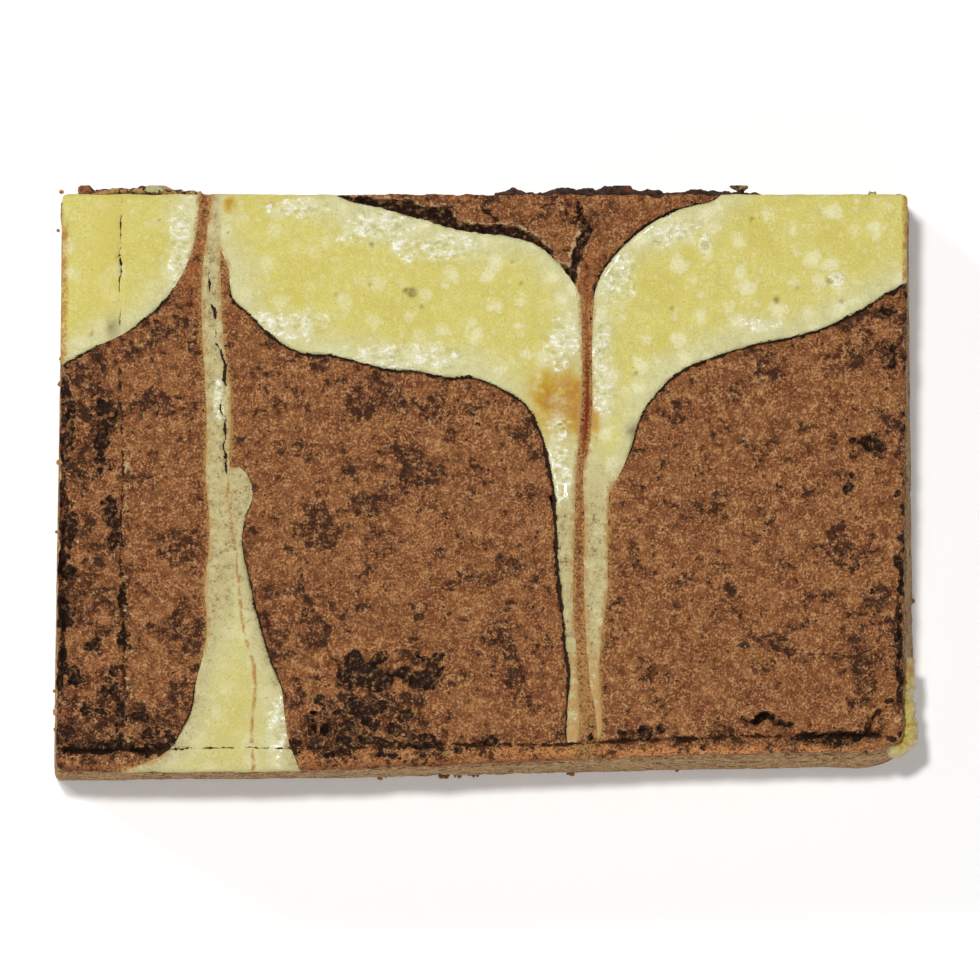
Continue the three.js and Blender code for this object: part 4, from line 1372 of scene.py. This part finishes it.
class BROWNIE_OT_stage(bpy.types.Operator):
    """Makes the floor, the lights and the camera"""

    bl_idname = "brownie.stage"
    bl_label = "Stage"

    def execute(self, context):
        scene = context.scene
        sizes, look = scene.brownie_sizes, scene.brownie_look
        mesh = bpy.data.meshes.new("floor")
        corners = [(FLOOR_HALF * sx, FLOOR_HALF * sy, 0)
                   for sx, sy in ((-1, -1), (1, -1), (1, 1), (-1, 1))]
        mesh.from_pydata(corners, [], [(0, 1, 2, 3)])
        floor = bpy.data.objects.new("floor", mesh)
        context.collection.objects.link(floor)
        mesh.materials.append(floor_material(tuple(look.floor)))

        world = bpy.data.worlds.new("studio")
        world.use_nodes = True
        sky = world.node_tree.nodes["Background"]
        sky.inputs["Color"].default_value = (1, 1, 1, 1)
        sky.inputs["Strength"].default_value = SKY_STRENGTH
        scene.world = world

        for row in LAMPS:
            self.lamp(context, *row)

        scene.view_settings.view_transform = "Standard"
        centre = Vector([v * MM for v in VIEW_MIDDLE])
        tilt = sizes.camera_elevation
        back = Vector((0, -math.cos(tilt), math.sin(tilt)))
        lens = bpy.data.cameras.new("camera")
        lens.sensor_width = 36
        lens.lens = lens.sensor_width * sizes.camera_height / sizes.frame_width
        lens.clip_end = 20
        camera = bpy.data.objects.new("camera", lens)
        camera.location = centre + back * sizes.camera_height
        camera.rotation_euler = (math.pi / 2 - tilt, 0, 0)
        context.collection.objects.link(camera)
        scene.camera = camera
        return {"FINISHED"}

    @staticmethod
    def lamp(context, name, place, size, power, only):
        """Adds a round light that faces the origin."""
        light = bpy.data.lights.new(name, "AREA")
        light.shape = "DISK"
        light.size = size
        light.energy = power
        lamp = bpy.data.objects.new(name, light)
        lamp.location = place
        lamp.rotation_euler = Vector(place).to_track_quat("Z", "Y").to_euler()
        lamp.visible_glossy = only != "diffuse"
        lamp.visible_diffuse = only != "glossy"
        context.collection.objects.link(lamp)


class BROWNIE_OT_crust(bpy.types.Operator):
    """Makes the crust with its tears, dents and cracks"""

    bl_idname = "brownie.crust"
    bl_label = "Crust"

    def execute(self, context):
        sizes, look = context.scene.brownie_sizes, context.scene.brownie_look
        finish = crust_material(look)
        step = sizes.crust_step / MM
        for name, side, low, high in (
            ("crust_left", 1, PLAN_LOW, (-27, PLAN_HIGH[1])),
            ("crust_right", -1, (-31, PLAN_LOW[1]), PLAN_HIGH),
        ):
            def distance(x, y, side=side):
                return np.where(side * (x - stem_middle(y)) < 0, crust_distance(x, y), 5.0)

            plan = Plan(low, high, step, distance)
            top, masks = crust_relief(plan.x, plan.y)
            body = slab(plan, top, CRUST_LEVELS, self.shift)
            masks = with_walls(plan, body[0], masks, "tear")
            piece = add_piece(name, finish, body, masks, SHARP_WALL)
            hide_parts("brownie")
        return {"FINISHED"}

    @staticmethod
    def shift(x, y, out, top, share):
        return wall_place(x, y, out, top, share, seam_level(x, y), 1.0)


class BROWNIE_OT_crumb(bpy.types.Operator):
    """Makes the block of crumb under the crust, with its cut sides"""

    bl_idname = "brownie.crumb"
    bl_label = "Crumb"

    def execute(self, context):
        sizes, look = context.scene.brownie_sizes, context.scene.brownie_look
        step = sizes.side_step / MM
        line = smooth_line(block_outline(1.0, 2.0), step, closed=True)
        along = np.roll(line, -1, 0) - np.roll(line, 1, 0)
        along /= np.linalg.norm(along, axis=1, keepdims=True)
        out = np.stack([along[:, 1], -along[:, 0]], 1)
        x, y = line.T

        # Rings up the cut sides, which end lower where cream cheese reaches the side
        dip = TOP - cream_depth(x, y) + 0.2
        wet = np.zeros(x.size)
        for pool in POOLS:
            away, _ = pool_distance(pool, x, y)
            wet = np.maximum(wet, rise(0.2, -0.2, away))
        rim_height = mix(seam_level(x, y) + 0.25, dip, wet)
        rings, deep = [], []
        for share in np.linspace(0, 1, int(SEAM / step)):
            z = rim_height * share
            inward = side_relief(x, y, z)
            tuck = 0.3 * rise(0.985, 1.0, share) + 0.25 * rise(0.03, 0, share)
            move = (spread(x, y, out, z / TOP) - inward - tuck)[:, None] * out
            rings.append(np.column_stack([line + move, z]))
            deep.append(rise(0.45, 0.8, inward))

        # Rings inward over the lid, which dips under the cream cheese
        for share in LID_RINGS:
            flat = line * share
            fx, fy = flat.T
            floor = np.full(fx.size, SEAM - LID_DROP)
            for pool in POOLS:
                away, _ = pool_distance(pool, fx, fy)
                under = TOP - cream_depth(fx, fy) + mix(0.1, -1, rise(0.99, 0.93, share))
                floor = np.where(away < 1.5, np.minimum(floor, under), floor)
            rings.append(np.column_stack([flat, floor]))
            deep.append(np.ones(fx.size))

        # A point in the middle of the lid and of the underside, and the faces between the rings
        count = len(line)
        points = np.concatenate(rings + [[[0, 0, SEAM - LID_DROP]], [[0, 0, 0]]])
        deep = np.concatenate(deep + [[1.0], [0.0]])
        here = np.arange(count)
        after = np.roll(here, -1)
        quads = [
            np.stack([here, after, after + count, here + count], 1) + ring * count
            for ring in range(len(rings) - 1)
        ]
        final = (len(rings) - 1) * count
        lid = np.stack([here + final, after + final, np.full(count, len(points) - 2)], 1)
        under = np.stack([after, here, np.full(count, len(points) - 1)], 1)
        body = points, np.concatenate(quads), np.concatenate([lid, under])
        piece = add_piece("crumb", crumb_material(look), body, {"deep": deep}, SHARP_BLOCK)
        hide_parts("brownie")
        return {"FINISHED"}


class BROWNIE_OT_cream(bpy.types.Operator):
    """Makes the three bodies of cream cheese that are let into the top"""

    bl_idname = "brownie.cream"
    bl_label = "Cream cheese"

    def execute(self, context):
        sizes, look = context.scene.brownie_sizes, context.scene.brownie_look
        finish = cream_material(look)
        for pool in POOLS:
            rims = np.concatenate([pool_outline(name)[:, :2] for name in POOLS[pool]])
            low = np.maximum(rims.min(0) - 0.5, PLAN_LOW)
            high = np.minimum(rims.max(0) + 0.5, PLAN_HIGH)

            def distance(x, y, pool=pool):
                line, width = pool_distance(pool, x, y)
                nibble = 0.04 + 0.1 * rough(x, y, 0, 2.5, 2, 17)
                tucked = 0.12 * rise(0.06, 0, width)
                ragged = rough(x, y, 0, 0.9, 3, 19) * (0.35 * width + 0.16 * by_wide_crack(x, y))
                line = line + 0.15 * width - tucked + ragged
                return np.maximum(line, outer_distance(x, y) + nibble)

            plan = Plan(low, high, sizes.cream_step / MM, distance)
            top, masks = self.relief(plan.x, plan.y, pool)
            body = slab(plan, top, CREAM_LEVELS, self.shift, self.lower)
            # The walls inside the cracks carry the painted crack shade
            masks = with_walls(plan, body[0], masks, "slit")
            piece = add_piece(f"cream_{pool}", finish, body, masks, SHARP_WALL)
            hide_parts(f"cream_cheese_{pool}")
        return {"FINISHED"}

    @staticmethod
    def lower(x, y):
        """The height of the underside."""
        return TOP - cream_depth(x, y)

    @staticmethod
    def shift(x, y, out, top, share):
        """The wall has a ledge in the cracks, which is their floor."""
        x, y, z = wall_place(x, y, out, top, share, TOP - cream_depth(x, y), 0.5)
        ledge = 0.4 * rise(0.09, 0.12, share) * rise(-0.5, -1.2, outer_distance(x, y))
        ledge = ledge * (1 - by_wide_crack(x, y))
        return x + ledge * out[:, 0], y + ledge * out[:, 1], z

    @staticmethod
    def relief(x, y, pool):
        """Height of the skin and the masks that colour it."""
        line, width = pool_distance(pool, x, y)
        outer = outer_distance(x, y)
        within = -line

        # Rolled rims where a crack is open, with a swelling beside them
        opened = rise(0.03, 0.2, width)
        z = top_level(x, y) + 0.02
        roll = 0.22 * rise(0.45, 0, within) ** 2 * opened
        swell = 0.07 * bell(within - 1.1, 0.8) * opened
        z = z - roll + swell - 0.22 * rise(-0.45, 0.05, outer) ** 2 - 0.15 * rise(0, 0.1, line)

        # Wet wrinkled places, and pits with raised rims and painted shade inside them
        gloss = np.zeros_like(x)
        for gx, gy, rx, ry in GLOSSY:
            gloss = np.maximum(gloss, bell(oval(x, y, gx, gy, rx, ry), 1.1))
        gloss = rise(0.1, 0.9, gloss + 0.45 * rough(x, y, 0, 2.2, 4, 52))
        wrinkle = rough(x, y, 0, 1.1, 3, 51)
        z = z + (0.02 + 0.075 * gloss) * wrinkle + 0.03 * rough(x, y, 0, 4, 2, 53)
        pit_shade = np.zeros_like(x)
        for px, py, radius in PITS:
            ring = np.hypot(x - px, y - py) + 0.12 * wrinkle
            z = z - 0.3 * rise(radius, radius * 0.3, ring)
            z = z + 0.05 * bell(ring - radius, radius * 0.5)
            pit_shade = np.maximum(pit_shade, 0.8 * rise(radius * 1.15, radius * 0.3, ring))

        # Cracks and the two creases
        cut = line_mask(within - 0.16 * width) * rise(0.04, 0.14, width)
        offset, gape = nearest_crack(CREAM_CRACKS[pool], x, y)
        z = z - gape * rise(0.1, -0.06, np.abs(offset) - 0.4 * gape)
        z = z - 0.07 * bell(x - LEFT_CREASE_X, 0.35) - 0.07 * bell(y - FRONT_CREASE_Y + 0.4, 0.3)

        # The masks
        # The slit mask marks the rims of open cracks, which get painted crack shade
        masks = {"slit": cut, "gloss": gloss, "gape": gape, "crack": np.clip(0.5 + offset, 0, 1)}
        depth_in = within + 1.1 * rough(x, y, 0, 5, 2, 54)
        in_foot = rise(0, -6, y) * rise(-15, -20, x)
        masks["centre"] = rise(0.2, 4.6, depth_in) * (1 - 0.35 * in_foot)
        masks["bubbly"] = mix(0.45, 1, rise(-14, 0, x))
        band = bell(x + 40.4, 1.2) * rise(15, 19, y) + 0.7 * bell(x + 45.2, 0.6)
        masks["mustard"] = np.clip(band * (pool == "left"), 0, 1)
        stem_edge = mix(-26.7, -28.3, rise(16, 21, y)) + 1.9 * bell(y + 0.5, 3.2)
        left_stem = rise(stem_edge + 0.5, stem_edge - 0.4, x) * rise(-20, -8, y)
        right_stem = rise(7, 8, x) * rise(5, -5, y) * rise(20, 14, x)
        foot_rim = mix(0.12, 0.7, rise(2.2, 0.2, within)) * rise(0, -4, y) * rise(-15, -20, x)
        stems = (left_stem + right_stem + foot_rim) * (pool != "left")
        masks["stem"] = np.clip(stems, 0, 1)
        if pool == "middle":
            stain = 1.2 * bell(oval(x, y, 8.7, 8, 3.5, 3.9), 1)
            stain = stain + 0.8 * bell(oval(x, y, -27.1, 29.2, 1, 1.3), 0.7)
            stain = stain + 0.9 * bell(oval(x, y, -22.7, 29.3, 1, 1.3), 0.4)
        elif pool == "right":
            stain = 0.7 * bell(oval(x, y, 11.4, 7.4, 0.9, 3.6), 1)
        else:
            stain = np.zeros_like(x)
        masks["stain"] = stain
        streak, (wide,) = measure(smooth_line(FOOT_STREAK, 0.4), x, y)
        streak = streak + 0.18 * rough(x, y, 0, 1.6, 3, 55)
        foot = bell(np.abs(streak), 0.24 * wide + 0.05) * (pool == "middle")
        left_rim = rise(1.1, 0.3, x - left_side(y, 1) + 0.3 * wrinkle) * rise(30, 26, y)
        right_rim = rise(0.75, 0.3, right_side(y, 1) - x + 0.2 * wrinkle) * (pool == "right")
        left_rim = left_rim * (pool == "left")
        masks["streak"] = np.clip(foot + 0.8 * left_rim + 0.7 * right_rim, 0, 1)
        crack, _ = signed(wide_crack(), x, y)
        fused = rise(0.12, 0.02, width) * rise(0.15, 0.6, crack)
        low = 0.85 * rise(-14, -22, y) * (right_stem > 0.3) * (pool != "left")
        masks["join"] = np.maximum(fused * bell(np.maximum(within, 0), 0.38), low)
        smudge = bell(oval(x, y, -39.6, 16.1, 0.7, 1.1), 1)
        smudge = smudge + bell(oval(x, y, 15.7, 5.2, 0.7, 0.8), 1)
        # Grey smudges, and painted shade inside the pits
        masks["soot"] = np.clip(smudge * 0.8 + pit_shade, 0, 1)
        return z, masks


class BROWNIE_OT_corner(bpy.types.Operator):
    """Makes the lump of cream cheese at the front right corner"""

    bl_idname = "brownie.corner"
    bl_label = "Corner lump"

    def execute(self, context):
        look = context.scene.brownie_look
        plan = Plan(LUMP_LOW, LUMP_HIGH, LUMP_STEP, self.distance)
        within = np.clip(-self.distance(plan.x, plan.y) / 1.1, 0, 1)
        lumps = rough(plan.x, plan.y, 0, 0.9, 3, 82)
        top = LUMP_TOP + 1.7 * np.sqrt(within * (2 - within)) + 0.6 * lumps
        top = top + 0.7 * rough(plan.x, plan.y, 0, 2.4, 2, 87)
        masks = {
            "centre": rise(0, 0.7, within + 0.5 * lumps),
            "stain": 0.1 + 0.35 * rise(0, 0.7, rough(plan.x, plan.y, 0, 1.6, 3, 83)),
            "streak": rise(0.1, 0.5, rough(plan.x, plan.y, 2, 1.2, 3, 84) - 0.3 * within),
            "gloss": 0.3 * rise(0.1, 0.5, rough(plan.x, plan.y, 4, 1.5, 3, 85)),
            "join": 0.5 + 0.25 * rise(0, 0.6, lumps),
        }
        body = slab(plan, top, LUMP_LEVELS, self.shift)
        mottled = rise(0, 0.6, rough(*body[0][plan.x.size:].T, 1.4, 3, 89))
        masks = over_piece(masks, body[0], {
            "centre": 0.6, "stain": 0.25 + 0.35 * mottled, "streak": 0.4 * mottled,
            "join": 0.5 + 0.25 * mottled,
        })
        piece = add_piece("cream_corner", cream_material(look), body, masks)
        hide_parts("cream_cheese_corner")
        return {"FINISHED"}

    @staticmethod
    def distance(x, y):
        away, _ = signed(smooth_line(CORNER_LUMP, 0.2, closed=True), x, y)
        return away + 0.24 * rough(x, y, 0, 1, 3, 81)

    @staticmethod
    def shift(x, y, out, top, share):
        """The lump's sides, which bulge and then draw in towards the cut side."""
        z = mix(top, LUMP_FOOT + 1.3 * rough(x, y, 0, 2.2, 3, 88), share)
        bulge = 0.12 * np.sin(np.pi * share) + 0.3 * rough(x, y, z, 1.1, 3, 86)
        inward = mix(x, LUMP_SIDE, 0.45 * share**2)
        return inward + bulge * out[:, 0], y + bulge * out[:, 1], z


def ball(fineness):
    """Points and triangles of a round ball of radius 1."""
    form = bmesh.new()
    bmesh.ops.create_icosphere(form, subdivisions=fineness, radius=1)
    points = np.array([v.co[:] for v in form.verts])
    faces = np.array([[v.index for v in f.verts] for f in form.faces])
    form.free()
    return points, faces


def crumb_heap(name, spots, fineness, seed, finish):
    """One piece of joined crumbs. spots are rows of x, y, z and radius."""
    points, faces = ball(fineness)
    draw = np.random.default_rng(seed)
    all_points, all_faces = [], []
    for number, (x, y, z, radius) in enumerate(spots):
        squash = draw.uniform(0.65, 1.25, 3)
        shape = points * squash
        bump = 1 + 0.5 * rough(*(shape + 3 * number).T, 0.9, 3, seed)
        all_points.append(shape * bump[:, None] * radius + (x, y, z))
        all_faces.append(faces + number * len(points))
    body = np.concatenate(all_points), np.empty((0, 4), int), np.concatenate(all_faces)
    piece = add_piece(name, finish, body)
    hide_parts("brownie")


class BROWNIE_OT_crumbs(bpy.types.Operator):
    """Scatters crumbs along the back edge and round the foot of the sides"""

    bl_idname = "brownie.crumbs"
    bl_label = "Crumbs"

    def execute(self, context):
        look = context.scene.brownie_look
        draw = np.random.default_rng(12)
        dark = loose_crumb_material("dark crumbs", look, look.torn_dark, look.back_crumb)
        tan = loose_crumb_material("tan crumbs", look, look.crumb_dark, look.edge)
        self.ridge(dark)
        spots = list(SIDE_CRUMBS)
        base = block_outline(0.0, 0.25)
        for _ in range(FOOT_GROUPS):
            x, y = base[draw.integers(len(base))]
            size = draw.uniform(0.12, 0.3)
            for _ in range(draw.integers(1, 4)):
                spots.append((x + draw.normal(0, size), y + draw.normal(0, 0.06), 0.15, size))
        for x, y, size in BASE_CRUMBS:
            for _ in range(4):
                spots.append((x + draw.normal(0, size), y + draw.uniform(-0.05, 0.15), 0.2,
                              size * draw.uniform(0.5, 1)))
        crumb_heap("crumbs_base", spots, 2, 22, tan)
        return {"FINISHED"}

    @staticmethod
    def distance(x, y):
        reach = np.interp(x, *np.transpose(BACK_RIDGE))
        ragged = 0.22 * rough(x, y, 0, 0.7, 3, 91)
        away = np.maximum(y - reach - 0.12 + ragged, 29.95 - y)
        leaning, _ = signed(smooth_line(LEANING_CRUMB, 0.2, closed=True), x, y)
        return np.minimum(away, leaning + 0.4 * ragged)

    @classmethod
    def ridge(cls, finish):
        """The joined crumbs along the back edge."""
        plan = Plan(RIDGE_LOW, RIDGE_HIGH, RIDGE_STEP, cls.distance)
        x, y = plan.x, plan.y
        rim = np.clip(-cls.distance(x, y), 0, 0.5)
        top = TOP - 1.25 + 0.8 * np.sqrt(rim) + 0.5 * rough(x, y, 0, 0.9, 3, 92)
        top = np.minimum(top, TOP - 0.1)
        masks = {
            "tan": rise(-28, -30, x) + bell(x - 27.1, 1.5) * rise(30.8, 31, y),
            "red": bell(x + 42.5, 0.9) + bell(x - 15.3, 0.5) * rise(30.6, 30.9, y),
            "pale": bell(x + 35.3, 1.1) * rise(30.4, 30.8, y) + 0.6 * bell(x - 41.3, 0.5),
        }

        def lower(x, y):
            inland = np.maximum(np.minimum(x + 43.6, -28.7 - x), np.minimum(x - 0.6, 30.6 - x))
            return TOP - 2.1 - 1.2 * rise(0, 4, inland) - 0.3 * rough(x, 0, 0, 1.8, 3, 94)

        def shift(x, y, out, top, share):
            z = mix(top, lower(x, y), share)
            bulge = 0.1 * noise(x, y, z, 0.7, 93) - 0.1 * share**3
            return x + bulge * out[:, 0], y + bulge * out[:, 1], z

        body = slab(plan, top, RIDGE_LEVELS, shift, lower)
        piece = add_piece("crumbs_back", finish, body, over_piece(masks, body[0], {}))
        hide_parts("brownie")


class BROWNIE_PT_panel(bpy.types.Panel):
    """Lists the steps that build the brownie"""

    bl_idname = "BROWNIE_PT_panel"
    bl_label = "Cream Cheese Brownie"
    bl_space_type = "VIEW_3D"
    bl_region_type = "UI"
    bl_category = "Brownie"

    def draw(self, context):
        for operator in OPERATORS:
            self.layout.operator(operator.bl_idname)
        for settings in (context.scene.brownie_sizes, context.scene.brownie_look):
            column = self.layout.column()
            for name in settings.__annotations__:
                column.prop(settings, name)


OPERATORS = (
    BROWNIE_OT_stage, BROWNIE_OT_crust, BROWNIE_OT_crumb, BROWNIE_OT_cream,
    BROWNIE_OT_corner, BROWNIE_OT_crumbs,
)
CLASSES = (BrownieSizes, BrownieLook, *OPERATORS, BROWNIE_PT_panel)


def register():
    for cls in CLASSES:
        bpy.utils.register_class(cls)
    bpy.types.Scene.brownie_sizes = PointerProperty(type=BrownieSizes)
    bpy.types.Scene.brownie_look = PointerProperty(type=BrownieLook)


def unregister():
    del bpy.types.Scene.brownie_look
    del bpy.types.Scene.brownie_sizes
    for cls in reversed(CLASSES):
        bpy.utils.unregister_class(cls)


def main():
    register()
    for operator in OPERATORS:
        space, name = operator.bl_idname.split(".")
        getattr(getattr(bpy.ops, space), name)()


if __name__ == "__main__":
    main()
